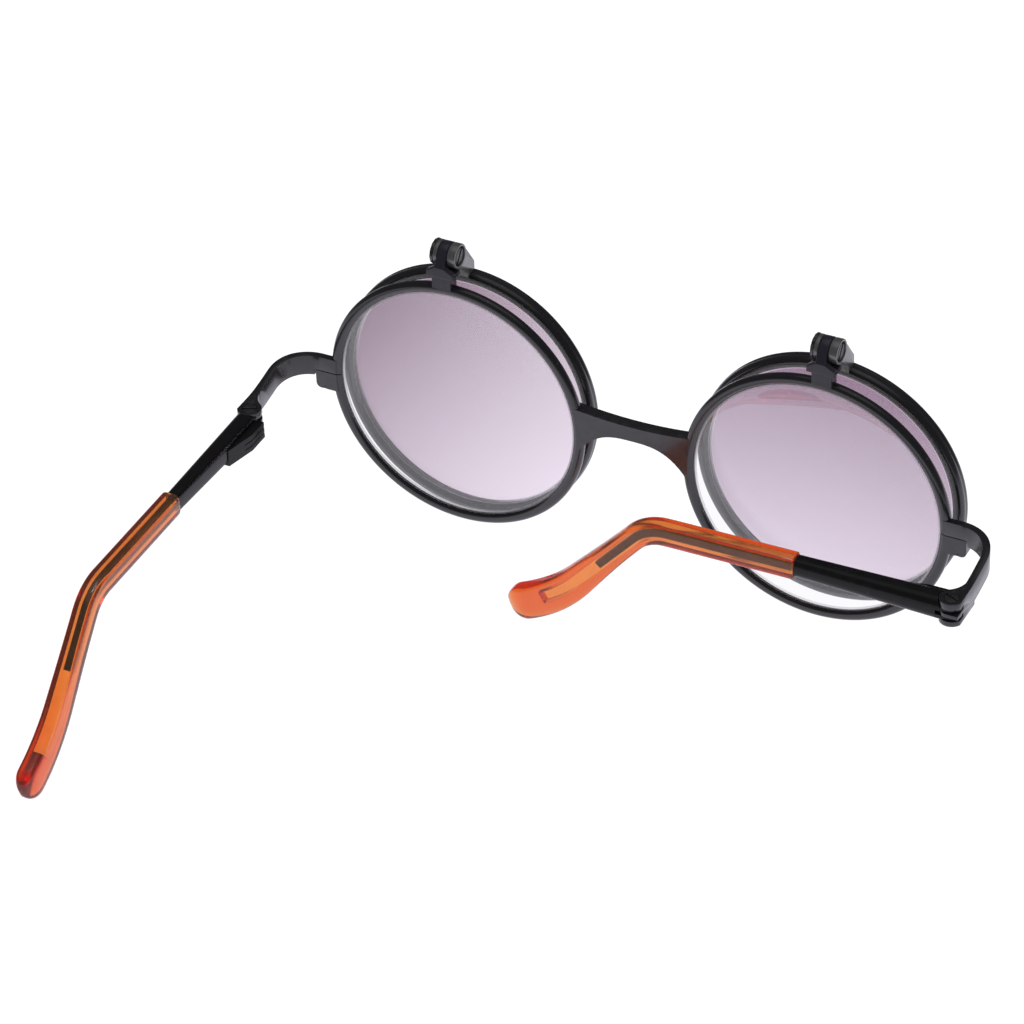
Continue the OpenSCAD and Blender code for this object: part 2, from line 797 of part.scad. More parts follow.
module flip_wire() {
    wire_ring(flip_r, flip_width, flip_depth, flip_depth * flip_round_share);
}

module at_flip_ring(side) {
    at_flip(side) translate([-side * flip_offset, flip_ring_dy, flip_ring_dz])
        rotate([90, 0, 0]) children();
}

module flip_rim(side) {
    color(black_metal) at_flip_ring(side) difference() {
        flip_wire();
        groove_ring(flip_in_r, flip_depth * groove_half_share);
    }
}

module tinted_lens(side) {
    half_v = flip_depth * groove_half_share * (groove_depth - seat_clear) / groove_depth;
    color(tinted_glass) at_flip_ring(side)
        lens_blank(flip_lens_r, flip_in_r - seat_clear, half_v, tint_t);
}

// Flip leaf: two knuckles, a tongue that leans forward, and a foot on the flip-up rim
leaf_counterbore_r = 1.12;
leaf_counterbore_d = 0.5;
leaf_knee = 1.05;
leaf_crotch_share = 0.4;
leaf_rear_deg = -95;
leaf_front_deg = 118;

module leaf_side() {
    front = flip_ring_dy - flip_depth / 2;
    rear = flip_ring_dy + flip_depth / 2;
    top = flip_ring_dz + flip_r;
    low = top - flip_width * lap_share;
    polygon([
        [0, 0],
        [barrel_r * cos(leaf_rear_deg), barrel_r * sin(leaf_rear_deg)],
        [rear, top + leaf_knee * leaf_crotch_share],
        [rear, low],
        [front, low],
        [front, top + leaf_knee],
        [barrel_r * cos(leaf_front_deg), barrel_r * sin(leaf_front_deg)]
    ]);
}

module flip_leaf(side) {
    leaf_w = nut_start_x - head_end_x;
    color(black_metal) at_flip(side) difference() {
        translate([head_end_x, 0, 0]) rotate([90, 0, 90]) {
            linear_extrude(height = leaf_w) leaf_side();
            cylinder(r = barrel_r, h = leaf_w);
        }
        translate([post_start_x - side_clear, 0, 0]) rotate([0, 90, 0])
            cylinder(r = barrel_r + swing_clear, h = post_knuckle_l + 2 * side_clear);
        translate([head_end_x - cut, 0, 0]) rotate([0, 90, 0])
            cylinder(r = flip_pin_r, h = leaf_w + 2 * cut, $fn = 48);
        translate([head_end_x - cut, 0, 0]) rotate([0, 90, 0])
            cylinder(r = leaf_counterbore_r, h = cut + leaf_counterbore_d, $fn = 64);
        translate([-side * flip_offset, flip_ring_dy, flip_ring_dz]) rotate([90, 0, 0]) {
            flip_wire();
            cylinder(r = flip_r - flip_width * lap_share, h = 4 * flip_depth, center = true);
        }
    }
}

flip_slot_deg = 35;
flip_head_h_share = 0.8;

module flip_screw(side) {
    color(screw_metal) at_flip(side)
        translate([head_end_x + leaf_counterbore_d, 0, 0]) rotate([flip_slot_deg, 0, 0]) rotate([0, 90, 0])
            slotted_screw(flip_pin_r, nut_start_x + nut_l - head_end_x - leaf_counterbore_d,
                flip_head_r, leaf_counterbore_d * flip_head_h_share);
}

// Round nut with shallow flats
nut_flats = 12;
nut_r_share = 1.03;

module flip_nut(side) {
    color(screw_metal) at_flip(side) translate([nut_start_x, 0, 0]) rotate([0, 90, 0])
        difference() {
            cylinder(r = barrel_r * nut_r_share, h = nut_l, $fn = nut_flats);
            translate([0, 0, -cut]) cylinder(r = flip_pin_r, h = nut_l + 2 * cut, $fn = 48);
        }
}

rim(LEFT);  // rim_left
rim(RIGHT);  // rim_right
bridge();
clear_lens(LEFT);  // clear_lens_left
clear_lens(RIGHT);  // clear_lens_right
lock_lower(LEFT);  // lock_lower_left
lock_lower(RIGHT);  // lock_lower_right
lock_screw(LEFT);  // lock_screw_left
lock_screw(RIGHT);  // lock_screw_right
end_arm(LEFT);  // end_arm_left
end_arm(RIGHT);  // end_arm_right
temple_screw(LEFT);  // temple_screw_left
temple_screw(RIGHT);  // temple_screw_right
hinge_foot(LEFT);  // hinge_foot_left
hinge_foot(RIGHT);  // hinge_foot_right
hinge_post(LEFT);  // hinge_post_left
hinge_post(RIGHT);  // hinge_post_right
flip_rim(LEFT);  // flip_rim_left
flip_rim(RIGHT);  // flip_rim_right
tinted_lens(LEFT);  // tinted_lens_left
tinted_lens(RIGHT);  // tinted_lens_right
flip_leaf(LEFT);  // flip_leaf_left
flip_leaf(RIGHT);  // flip_leaf_right
flip_screw(LEFT);  // flip_screw_left
flip_screw(RIGHT);  // flip_screw_right
flip_nut(LEFT);  // flip_nut_left
flip_nut(RIGHT);  // flip_nut_right
temple_arm(LEFT);  // temple_arm_left
temple_arm(RIGHT);  // temple_arm_right
ear_tip(LEFT);  // ear_tip_left
ear_tip(RIGHT);  // ear_tip_right
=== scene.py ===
"""Looks of the round flip-up sunglasses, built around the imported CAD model.

Most metal pieces are copies of their CAD solids, the eye wires and lenses are spun, the ear
tips are lofted with the hollow that their core wires lie in, and every finish is procedural.
"""

import logging
import math
from dataclasses import dataclass, field, replace
from enum import Enum
from typing import Callable

import bmesh
import bpy
from mathutils import Matrix, Vector


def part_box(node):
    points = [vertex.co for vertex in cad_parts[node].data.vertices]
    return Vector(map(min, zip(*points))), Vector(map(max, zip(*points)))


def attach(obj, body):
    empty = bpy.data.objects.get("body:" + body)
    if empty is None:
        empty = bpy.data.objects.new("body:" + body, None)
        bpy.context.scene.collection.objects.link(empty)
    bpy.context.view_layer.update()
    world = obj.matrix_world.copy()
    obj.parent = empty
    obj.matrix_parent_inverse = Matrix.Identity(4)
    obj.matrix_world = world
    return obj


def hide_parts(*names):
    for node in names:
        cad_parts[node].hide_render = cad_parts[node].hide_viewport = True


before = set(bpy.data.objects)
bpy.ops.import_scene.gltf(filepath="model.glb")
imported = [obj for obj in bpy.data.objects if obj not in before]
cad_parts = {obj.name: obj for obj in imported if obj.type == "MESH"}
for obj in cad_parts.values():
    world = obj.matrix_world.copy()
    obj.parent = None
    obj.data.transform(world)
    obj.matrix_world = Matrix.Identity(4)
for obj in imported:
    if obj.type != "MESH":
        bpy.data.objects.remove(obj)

LOG = logging.getLogger("flip_up_sunglasses")
MM = 0.001
WHITE = (1.0, 1.0, 1.0)
RANGE_INPUTS = ("Value", "From Min", "From Max", "To Min", "To Max")
STAND_UP = Matrix.Rotation(math.pi / 2, 4, "X")

Triple = tuple[float, float, float]
Color = Triple
Range = tuple[float, float]
Material = bpy.types.Material
Mesh = bpy.types.Mesh
Node = bpy.types.Node
Object = bpy.types.Object
Socket = bpy.types.NodeSocket
SteelMaker = Callable[[str, Vector], Material]


class Side(Enum):
    """Side of the wearer, with its sign along X."""

    LEFT = 1
    RIGHT = -1

    @property
    def word(self) -> str:
        """The side's name, as the node names end."""
        return self.name.lower()


class Slot(Enum):
    """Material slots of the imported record."""

    FRAME = "frame_black"
    CLEAR = "clear_lens"
    TINT = "tinted_lens"
    SCREW = "screw_dark"
    TIP = "ear_tip_orange"


class Body(Enum):
    """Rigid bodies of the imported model."""

    FRONT = "front"
    FLIP = "flip"
    TEMPLE = "temple"

    def of(self, side: Side) -> str:
        """The body's name for a side; the front has no side."""
        return self.value if self is Body.FRONT else f"{self.value}_{side.word}"


class NodeTree:
    """Short-hand for making and joining shader nodes in one tree."""

    def __init__(self, tree: bpy.types.NodeTree) -> None:
        """Takes the tree that the nodes go into, a material's or a node group."""
        self.tree = tree

    def add(self, kind: str, values: dict | None = None, **settings: object) -> Node:
        """Adds a node.

        Args:
            kind: the node's type name.
            values: input name or number to a value or to an output socket to join.
            settings: attributes of the node.

        Returns:
            The new node.
        """
        node = self.tree.nodes.new(kind)
        for name, value in settings.items():
            setattr(node, name, value)
        for key, value in (values or {}).items():
            if isinstance(value, Socket):
                self.tree.links.new(value, node.inputs[key])
            else:
                node.inputs[key].default_value = value
        return node

    def group(self, group: bpy.types.NodeTree, **values: float) -> bpy.types.bpy_prop_collection:
        """Places a shared node group with its own values and gives its outputs."""
        return self.add("ShaderNodeGroup", values, node_tree=group).outputs

    def ray(self, kind: str) -> Socket:
        """Tells whether the ray is of a kind, by the name of a Light Path output."""
        return self.add("ShaderNodeLightPath").outputs[kind]

    def join(self, out: Socket, to: Socket) -> None:
        """Joins an output to an input."""
        self.tree.links.new(out, to)

    def place(self) -> Socket:
        """Place on the object, in metres of its own frame."""
        return self.add("ShaderNodeTexCoord").outputs["Object"]

    def math(self, how: str, a: object, b: object = 0.0, clamp: bool = False) -> Socket:
        """Adds a math node on two values and gives its output."""
        return self.add("ShaderNodeMath", {0: a, 1: b}, operation=how, use_clamp=clamp).outputs[0]

    def plus(self, a: object, b: object, clamp: bool = False) -> Socket:
        """Adds two values up."""
        return self.math("ADD", a, b, clamp)

    def times(self, a: object, b: object, clamp: bool = False) -> Socket:
        """Multiplies two values."""
        return self.math("MULTIPLY", a, b, clamp)

    def vector(self, how: str, *values: object, out: str = "Vector") -> Socket:
        """Adds a vector math node on its values and gives one of its outputs."""
        node = self.add("ShaderNodeVectorMath", dict(enumerate(values)), operation=how)
        return node.outputs[out]

    def spread(self, value: Socket, span: Range, to: Range = (0.0, 1.0)) -> Socket:
        """Maps a value smoothly from the range span onto the range to."""
        values = dict(zip(RANGE_INPUTS, (value, *span, *to)))
        return self.add("ShaderNodeMapRange", values, interpolation_type="SMOOTHSTEP").outputs[0]

    def noise(self, place: Socket, size: object, detail: float = 2.0) -> Socket:
        """Adds noise from 0 to 1.

        Args:
            place: the place that it is read at.
            size: size of its features in metres, a number or an output socket.
            detail: how many finer layers it has.

        Returns:
            The noise.
        """
        scale = self.math("DIVIDE", 1.0, size) if isinstance(size, Socket) else 1.0 / size
        values = {"Vector": place, "Scale": scale, "Detail": detail}
        return self.add("ShaderNodeTexNoise", values).outputs["Fac"]

    def mix(self, amount: object, a: object, b: object) -> Socket:
        """Mixes two colours.

        Args:
            amount: share of the second colour.
            a: the first colour, as a triple or an output socket.
            b: the second colour.

        Returns:
            The mixed colour.
        """
        node = self.add("ShaderNodeMix", {"Factor": amount}, data_type="RGBA")
        for key, value in (("A", a), ("B", b)):
            socket = next(s for s in node.inputs if s.name == key and s.type == "RGBA")
            if isinstance(value, Socket):
                self.tree.links.new(value, socket)
            else:
                socket.default_value = (*value, 1.0)
        return next(s for s in node.outputs if s.type == "RGBA")

    def blend(self, amount: Socket, a: Socket, b: Socket, to: Socket) -> None:
        """Joins a mix of two shaders to an input."""
        both = self.add("ShaderNodeMixShader", {0: amount, 1: a, 2: b})
        self.join(both.outputs["Shader"], to)


def new_group(
    name: str, inputs: dict[str, float], outputs: tuple[str, ...]
) -> tuple[NodeTree, Node, Node]:
    """Starts a shader node group with named float inputs and outputs.

    Args:
        name: the group's name.
        inputs: input name to its default value.
        outputs: the outputs' names.

    Returns:
        The group's tree, its input node and its output node.
    """
    tree = bpy.data.node_groups.new(name, "ShaderNodeTree")
    for key, value in inputs.items():
        socket = tree.interface.new_socket(key, in_out="INPUT", socket_type="NodeSocketFloat")
        socket.default_value = value
    for key in outputs:
        tree.interface.new_socket(key, in_out="OUTPUT", socket_type="NodeSocketFloat")
    kit = NodeTree(tree)
    return kit, kit.add("NodeGroupInput"), kit.add("NodeGroupOutput")


@dataclass
class Effects:
    """Shader node groups that several finishes share, each built once."""

    ridge: Range = (0.53, 0.62)
    patch: Range = (0.38, 0.62)
    patch_detail: float = 3.0
    broad_share: float = 0.6
    fine_detail: float = 1.0
    dot: Range = (0.16, 0.06)
    smudge: Range = (0.42, 0.7)
    smudge_size: float = 0.004
    smudge_detail: float = 3.0

    def __post_init__(self) -> None:
        """Builds every group."""
        self.edge_rub = self._edge_rub()
        self.fine_grain = self._fine_grain()
        self.dust = self._dust()

    def _edge_rub(self) -> bpy.types.NodeTree:
        """Builds the mask of edges rubbed bright by handling, broken up by noise.

        Returns:
            The group.
        """
        kit, ins, outs = new_group("edge_rub", {"Size": 0.0009, "Bite": 0.5}, ("Mask",))
        place = kit.place()
        point = kit.add("ShaderNodeNewGeometry").outputs["Pointiness"]
        patch = kit.noise(place, ins.outputs["Size"], self.patch_detail)
        rubbed = kit.times(kit.spread(point, self.ridge), kit.spread(patch, self.patch))
        kit.join(kit.times(rubbed, ins.outputs["Bite"], clamp=True), outs.inputs["Mask"])
        return kit.tree

    def _fine_grain(self) -> bpy.types.NodeTree:
        """Builds a surface's soft unevenness, as a value and a height.

        Returns:
            The group.
        """
        sizes = {"Size": 0.0006, "Fine": 0.00012}
        kit, ins, outs = new_group("fine_grain", sizes, ("Value", "Height"))
        place = kit.place()
        broad = kit.noise(place, ins.outputs["Size"])
        fine = kit.noise(place, ins.outputs["Fine"], self.fine_detail)
        kit.join(broad, outs.inputs["Value"])
        shares = kit.times(broad, self.broad_share), kit.times(fine, 1 - self.broad_share)
        kit.join(kit.plus(*shares), outs.inputs["Height"])
        return kit.tree

    def _dust(self) -> bpy.types.NodeTree:
        """Builds the masks of sparse dust specks and of the soft smudges between them.

        Returns:
            The group.
        """
        values = {"Speck": 0.0005, "Cover": 0.2}
        kit, ins, outs = new_group("dust_specks", values, ("Specks", "Smudge"))
        place = kit.place()
        scale = kit.math("DIVIDE", 1.0, ins.outputs["Speck"])
        cells = kit.add("ShaderNodeTexVoronoi", {"Vector": place, "Scale": scale}).outputs
        dot = kit.spread(cells["Distance"], self.dot)
        chance = kit.add("ShaderNodeSeparateColor", {"Color": cells["Color"]}).outputs["Red"]
        keep = kit.math("LESS_THAN", chance, ins.outputs["Cover"])
        kit.join(kit.times(dot, keep), outs.inputs["Specks"])
        haze = kit.noise(place, self.smudge_size, self.smudge_detail)
        kit.join(kit.spread(haze, self.smudge), outs.inputs["Smudge"])
        return kit.tree


class Finish:
    """Base of every finish: starts a material and ends it with its surface."""

    @staticmethod
    def start(name: str, values: dict[str, object]) -> tuple[Material, NodeTree, Node, Node]:
        """Starts a material.

        Args:
            name: the material's name.
            values: input name of its Principled node to its constant.

        Returns:
            The material, its tree, its Principled node and its output node.
        """
        material = bpy.data.materials.new(name)
        material.use_nodes = True
        kit = NodeTree(material.node_tree)
        kit.tree.nodes.clear()
        output = kit.add("ShaderNodeOutputMaterial")
        surface = kit.add("ShaderNodeBsdfPrincipled", values)
        kit.join(surface.outputs["BSDF"], output.inputs["Surface"])
        return material, kit, surface, output

    @staticmethod
    def bump(kit: NodeTree, surface: Node, height: Socket, strength: float, depth: float) -> None:
        """Joins a height to the surface's normal through a bump node."""
        values = {"Height": height, "Strength": strength, "Distance": depth}
        kit.join(kit.add("ShaderNodeBump", values).outputs["Normal"], surface.inputs["Normal"])

    @staticmethod
    def clear_shadow(kit: NodeTree, surface: Node, output: Node, color: object) -> None:
        """Lets light through a clear surface, so that it casts a shadow of a given colour."""
        through = kit.add("ShaderNodeBsdfTransparent", {"Color": color}).outputs[0]
        kit.blend(kit.ray("Is Shadow Ray"), surface.outputs[0], through, output.inputs["Surface"])


@dataclass(frozen=True)
class BlackGloss(Finish):
    """Gloss black lacquer over metal, rubbed along its edges."""

    name: str = "black_gloss_metal"
    base: Color = (0.0065, 0.006, 0.0075)
    rubbed: Color = (0.03, 0.03, 0.033)
    dust: Color = (0.08, 0.08, 0.085)
    ior: float = 1.55
    roughness: float = 0.22
    roughness_swing: float = 0.05
    coat: float = 0.25
    coat_roughness: float = 0.06
    rub: float = 0.25
    rub_size: float = 0.0011
    grain_size: float = 0.0016
    fine_size: float = 0.00022
    grain_span: Range = (0.3, 0.7)
    speck_size: float = 0.0009
    speck_cover: float = 0.1
    speck_share: float = 0.2
    smudge_rough: float = 0.03
    bump_strength: float = 0.35
    bump_depth: float = 4e-6

    def build(self, effects: Effects) -> Material:
        """Builds the material.

        Args:
            effects: the shared node groups.

        Returns:
            The material.
        """
        values = {"Metallic": 0.0, "IOR": self.ior, "Coat Weight": self.coat}
        values["Coat Roughness"] = self.coat_roughness
        material, kit, surface, _ = self.start(self.name, values)
        rub = kit.group(effects.edge_rub, Size=self.rub_size, Bite=self.rub)["Mask"]
        grain = kit.group(effects.fine_grain, Size=self.grain_size, Fine=self.fine_size)
        specks = kit.group(effects.dust, Speck=self.speck_size, Cover=self.speck_cover)
        color = kit.mix(rub, self.base, self.rubbed)
        dusted = kit.mix(kit.times(specks["Specks"], self.speck_share), color, self.dust)
        kit.join(dusted, surface.inputs["Base Color"])
        swing = self.roughness_swing / 2
        rough = (self.roughness - swing, self.roughness + swing)
        uneven = kit.spread(grain["Value"], self.grain_span, rough)
        smudge = kit.times(specks["Smudge"], self.smudge_rough)
        kit.join(kit.plus(uneven, smudge), surface.inputs["Roughness"])
        self.bump(kit, surface, grain["Height"], self.bump_strength, self.bump_depth)
        return material


@dataclass(frozen=True)
class TurnedSteel(Finish):
    """Dark turned steel of a small screw, with rings from the lathe about its own axis."""

    name: str
    center: Triple
    axis: Triple
    base: Color = (0.04, 0.04, 0.044)
    bright: Color = (0.22, 0.22, 0.23)
    ring: float = 0.00009
    ring_share: float = 0.35
    wobble: float = 0.4
    wobble_size: float = 0.0012
    rub: float = 0.8
    rub_size: float = 0.0007
    roughness: Range = (0.27, 0.42)
    metallic: float = 0.9
    bump_strength: float = 0.4
    bump_depth: float = 5e-6

    def build(self, effects: Effects) -> Material:
        """Builds the material.

        Args:
            effects: the shared node groups.

        Returns:
            The material.
        """
        material, kit, surface, _ = self.start(self.name, {"Metallic": self.metallic})
        place = kit.place()
        arm = kit.vector("SUBTRACT", place, self.center)
        along = kit.vector("DOT_PRODUCT", arm, self.axis, out="Value")
        foot = kit.add("ShaderNodeVectorMath", {0: self.axis, "Scale": along}, operation="SCALE")
        away = kit.vector("SUBTRACT", arm, foot.outputs[0])
        radius = kit.vector("LENGTH", away, out="Value")
        wobble = kit.times(kit.noise(place, self.wobble_size), self.wobble)
        turns = kit.plus(kit.math("DIVIDE", radius, self.ring), wobble)
        wave = kit.plus(kit.times(kit.math("SINE", kit.times(turns, math.tau)), 0.5), 0.5)
        rub = kit.group(effects.edge_rub, Size=self.rub_size, Bite=self.rub)["Mask"]
        tone = kit.mix(kit.times(wave, self.ring_share), self.base, self.bright)
        kit.join(kit.mix(rub, tone, self.bright), surface.inputs["Base Color"])
        kit.join(kit.spread(wave, (0.0, 1.0), self.roughness), surface.inputs["Roughness"])
        self.bump(kit, surface, wave, self.bump_strength, self.bump_depth)
        return material


@dataclass(frozen=True)
class TintRange:
    """Tint at a lens's dark and pale ends, and its lean towards the lens's own +X."""

    dark: Color
    pale: Color
    lean_deg: float


@dataclass(frozen=True)
class LensGlass(Finish):
    """Polished lens, tinted from its top to its bottom, with a ground rim."""

    name: str
    tint: TintRange
    radius: float
    ior: float = 1.5
    ground_width: float = 0.00034
    ground_fade: float = 0.8
    ground: Color = (0.66, 0.65, 0.7)
    ground_roughness: float = 0.42
    speck_size: float = 0.0016
    speck_cover: float = 0.05
    speck_rough: float = 0.08
    smudge_rough: float = 0.006

    def build(self, effects: Effects) -> Material:
        """Builds the material.

        Args:
            effects: the shared node groups.

        Returns:
            The material.
        """
        values = {"IOR": self.ior, "Transmission Weight": 1.0}
        material, kit, surface, output = self.start(self.name, values)
        axes = kit.add("ShaderNodeSeparateXYZ", {0: kit.place()}).outputs
        lean = math.radians(self.tint.lean_deg)
        rise = kit.times(axes["Y"], math.cos(lean) / (2 * self.radius))
        side = kit.times(axes["X"], math.sin(lean) / (2 * self.radius))
        share = kit.plus(kit.plus(rise, side), 0.5, clamp=True)
        tone = kit.mix(share, self.tint.pale, self.tint.dark)
        flat = kit.add("ShaderNodeCombineXYZ", {"X": axes["X"], "Y": axes["Y"]}).outputs[0]
        away = kit.vector("LENGTH", flat, out="Value")
        starts, full = self.ground_width, self.ground_fade * self.ground_width
        ground = kit.spread(away, (self.radius - starts, self.radius - full))
        kit.join(kit.mix(ground, tone, self.ground), surface.inputs["Base Color"])
        specks = kit.group(effects.dust, Speck=self.speck_size, Cover=self.speck_cover)
        smudge = kit.times(specks["Smudge"], self.smudge_rough)
        dusty = kit.plus(smudge, kit.times(specks["Specks"], self.speck_rough))
        rough = kit.plus(dusty, kit.times(ground, self.ground_roughness))
        kit.join(rough, surface.inputs["Roughness"])
        self.clear_shadow(kit, surface, output, tone)
        return material


@dataclass(frozen=True)
class OrangeTip(Finish):
    """Clear orange plastic that lets the core wire show through."""

    name: str = "clear_orange_plastic"
    base: Color = (1.0, 0.88, 0.6)
    deep_share: float = 0.95
    depth_color: Color = (0.935, 0.485, 0.05)
    density: float = 1550.0
    roughness: float = 0.12
    ior: float = 1.46
    transmission: float = 0.985
    specular: float = 0.3
    coat: float = 0.05
    coat_roughness: float = 0.04
    grain_size: float = 0.0025
    fine_size: float = 0.0005
    grain_span: Range = (0.35, 0.65)
    speck_size: float = 0.0012
    speck_cover: float = 0.06
    smudge_rough: float = 0.06
    bump_strength: float = 0.25
    bump_depth: float = 6e-6

    def build(self, effects: Effects) -> Material:
        """Builds the material.

        Args:
            effects: the shared node groups.

        Returns:
            The material.
        """
        values = {
            "IOR": self.ior,
            "Transmission Weight": self.transmission,
            "Specular IOR Level": self.specular,
            "Coat Weight": self.coat,
            "Coat Roughness": self.coat_roughness,
        }
        material, kit, surface, output = self.start(self.name, values)
        grain = kit.group(effects.fine_grain, Size=self.grain_size, Fine=self.fine_size)
        specks = kit.group(effects.dust, Speck=self.speck_size, Cover=self.speck_cover)
        deep = tuple(c * self.deep_share for c in self.base)
        tone = kit.mix(kit.spread(grain["Value"], self.grain_span), deep, self.base)
        kit.join(tone, surface.inputs["Base Color"])
        rough = kit.plus(kit.times(specks["Smudge"], self.smudge_rough), self.roughness)
        kit.join(rough, surface.inputs["Roughness"])
        self.bump(kit, surface, grain["Height"], self.bump_strength, self.bump_depth)
        values = {"Color": (*self.depth_color, 1.0), "Density": self.density}
        fog = kit.add("ShaderNodeVolumeAbsorption", values)
        kit.join(fog.outputs["Volume"], output.inputs["Volume"])
        self.clear_shadow(kit, surface, output, (*self.base, 1.0))
        return material


def new_object(name: str, data: bpy.types.ID) -> Object:
    """Links a new object into the scene.

    Args:
        name: the object's name.
        data: its mesh, light or camera.

    Returns:
        The object.
    """
    made = bpy.data.objects.new(name, data)
    bpy.context.scene.collection.objects.link(made)
    return made


@dataclass(frozen=True)
class Seat:
    """Where a piece goes: the CAD node that it stands for, its body, slot and frame."""

    node: str
    body: str
    slot: Slot
    place: Matrix = Matrix()

    def take(self, kind: str, mesh: Mesh, material: Material) -> Object:
        """Makes the piece and puts it in the node's place.

        Args:
            kind: what the piece's name ends with.
            mesh: its mesh.
            material: its finish.

        Returns:
            The piece.
        """
        mesh.materials.append(material)
        made = new_object(f"{self.node}_{kind}", mesh)
        made.matrix_world = self.place
        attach(made, self.body)
        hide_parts(self.node)
        LOG.info("%s: %d faces", made.name, len(mesh.polygons))
        return made


def smooth_mesh(skin: bmesh.types.BMesh, name: str, sharp_deg: float) -> Mesh:
    """Turns a closed skin into a mesh, and frees the skin.

    Args:
        skin: the skin.
        name: the mesh's name.
        sharp_deg: the angle in degrees from which an edge stays sharp.

    Returns:
        The mesh, shaded smooth between its sharp edges.
    """
    bmesh.ops.recalc_face_normals(skin, faces=skin.faces)
    mesh = bpy.data.meshes.new(name)
    skin.to_mesh(mesh)
    skin.free()
    for polygon in mesh.polygons:
        polygon.use_smooth = True
    mesh.set_sharp_from_angle(angle=math.radians(sharp_deg))
    return mesh


def squared(c: float, power: float) -> float:
    """A sine or cosine to a power, with its sign: powers below 1 square a round section."""
    return math.copysign(abs(c) ** power, c)


def spaced(spans: list[tuple[float, float, int]]) -> list[float]:
    """Evenly spaced values over each span of a start, an end and a count, without its end."""
    return [a + (b - a) * i / n for a, b, n in spans for i in range(n)]


def off_line(point: Vector, start: Vector, along: Vector) -> float:
    """Distance of a point from the line through start in the unit direction along."""
    arm = point - start
    return (arm - along * arm.dot(along)).length


@dataclass(frozen=True)
class EdgeBreak:
    """How a piece's edges are broken, in millimetres and degrees.

    A fitted break is narrowed edge by edge to the room beside it. Any other is clamped by
    Blender, to almost nothing on these skins, and only keeps the shading of flat faces clean.
    """

    width: float
    segments: int = 3
    sharp_deg: float = 34.0
    fitted: bool = False
    room_share: float = 0.4
    corner_deg: Range = (50.0, 150.0)


@dataclass
class SoftenedPiece:
    """A copy of one CAD node's solid that stands for it, with its edges broken."""

    node: str
    body: str
    slot: Slot
    edge: EdgeBreak
    weld: float = 2e-6
    flat_deg: float = 0.4
    crowned: bool = False
    flat_weight: int = 80
    squeeze: Triple = (1.0, 1.0, 1.0)
    reshape: Callable[[Vector], Vector] | None = None
    ring_axis: Range = (21.3, -2.35)
    ring_back: float = 2.0
    ring_reach: float = 15.6

    def by_ring(self, p: Vector) -> bool:
        """Tells whether a point, in metres, is where the piece meets an eye wire."""
        away = math.hypot(abs(p.x) / MM - self.ring_axis[0], p.z / MM - self.ring_axis[1])
        return p.y < self.ring_back * MM and away < self.ring_reach

    def fit_breaks(self, mesh: Mesh) -> None:
        """Gives each sharp edge as much of the full break as the faces beside it have room for.

        Args:
            mesh: the piece's mesh, whose bevel weights are set.
        """
        skin = bmesh.new()
        skin.from_mesh(mesh)
        shares = skin.edges.layers.float.new("bevel_weight_edge")
        sharp = math.radians(self.edge.sharp_deg)
        tight, open_wide = self.edge.corner_deg
        for edge in skin.edges:
            blunt = len(edge.link_faces) != 2 or edge.calc_face_angle(0.0) < sharp
            if blunt or any(self.by_ring(v.co) for v in edge.verts):
                continue
            start = edge.verts[0].co
            along = (edge.verts[1].co - start).normalized()
            rooms = []
            for loop in edge.link_loops:
                rooms.append(max(off_line(v.co, start, along) for v in loop.face.verts))
                after = loop.link_loop_next
                ends = ((loop, loop.link_loop_prev.vert), (after, after.link_loop_next.vert))
                for corner, far in ends:
                    angle = math.degrees(corner.calc_angle())
                    if angle < tight:
                        rooms.append(0.0)
                    elif angle < open_wide:
                        rooms.append(off_line(far.co, start, along))
            edge[shares] = min(1.0, self.edge.room_share * min(rooms) / (self.edge.width * MM))
        skin.to_mesh(mesh)
        skin.free()

    def mesh(self) -> Mesh:
        """Copies the node's skin, with its coplanar triangles joined into flat faces.

        Returns:
            The new mesh.
        """
        skin = bmesh.new()
        skin.from_mesh(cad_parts[self.node].data)
        bmesh.ops.remove_doubles(skin, verts=skin.verts, dist=self.weld)
        flat = {"angle_limit": math.radians(self.flat_deg), "use_dissolve_boundaries": False}
        bmesh.ops.dissolve_limit(skin, verts=skin.verts, edges=skin.edges, **flat)
        low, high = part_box(self.node)
        middle = (low + high) / 2
        points = [
            Vector(m + (c - m) * k for c, m, k in zip(v.co, middle, self.squeeze))
            for v in skin.verts
        ]
        points = [tuple(self.reshape(q) if self.reshape else q) for q in points]
        skin.verts.index_update()
        faces = [[v.index for v in f.verts] for f in skin.faces]
        skin.free()
        mesh = bpy.data.meshes.new(self.node + "_softened")
        mesh.from_pydata(points, [], faces)
        mesh.validate()
        if self.edge.fitted:
            self.fit_breaks(mesh)
        return mesh

    def dress(self, material: Material) -> Object:
        """Makes the piece, breaks its edges and puts it in the node's place.

        Args:
            material: the piece's finish.

        Returns:
            The piece.
        """
        made = Seat(self.node, self.body, self.slot).take("finish", self.mesh(), material)
        bevel = made.modifiers.new("edge_break", "BEVEL")
        bevel.width = self.edge.width * MM
        bevel.segments = self.edge.segments
        bevel.limit_method = "WEIGHT" if self.edge.fitted else "ANGLE"
        bevel.angle_limit = math.radians(self.edge.sharp_deg)
        bevel.use_clamp_overlap = not self.edge.fitted
        bevel.miter_outer = "MITER_ARC"
        for polygon in made.data.polygons:
            polygon.use_smooth = True
        if not self.crowned:
            weights = made.modifiers.new("flat_faces", "WEIGHTED_NORMAL")
            weights.keep_sharp = False
            weights.weight = self.flat_weight
        return made


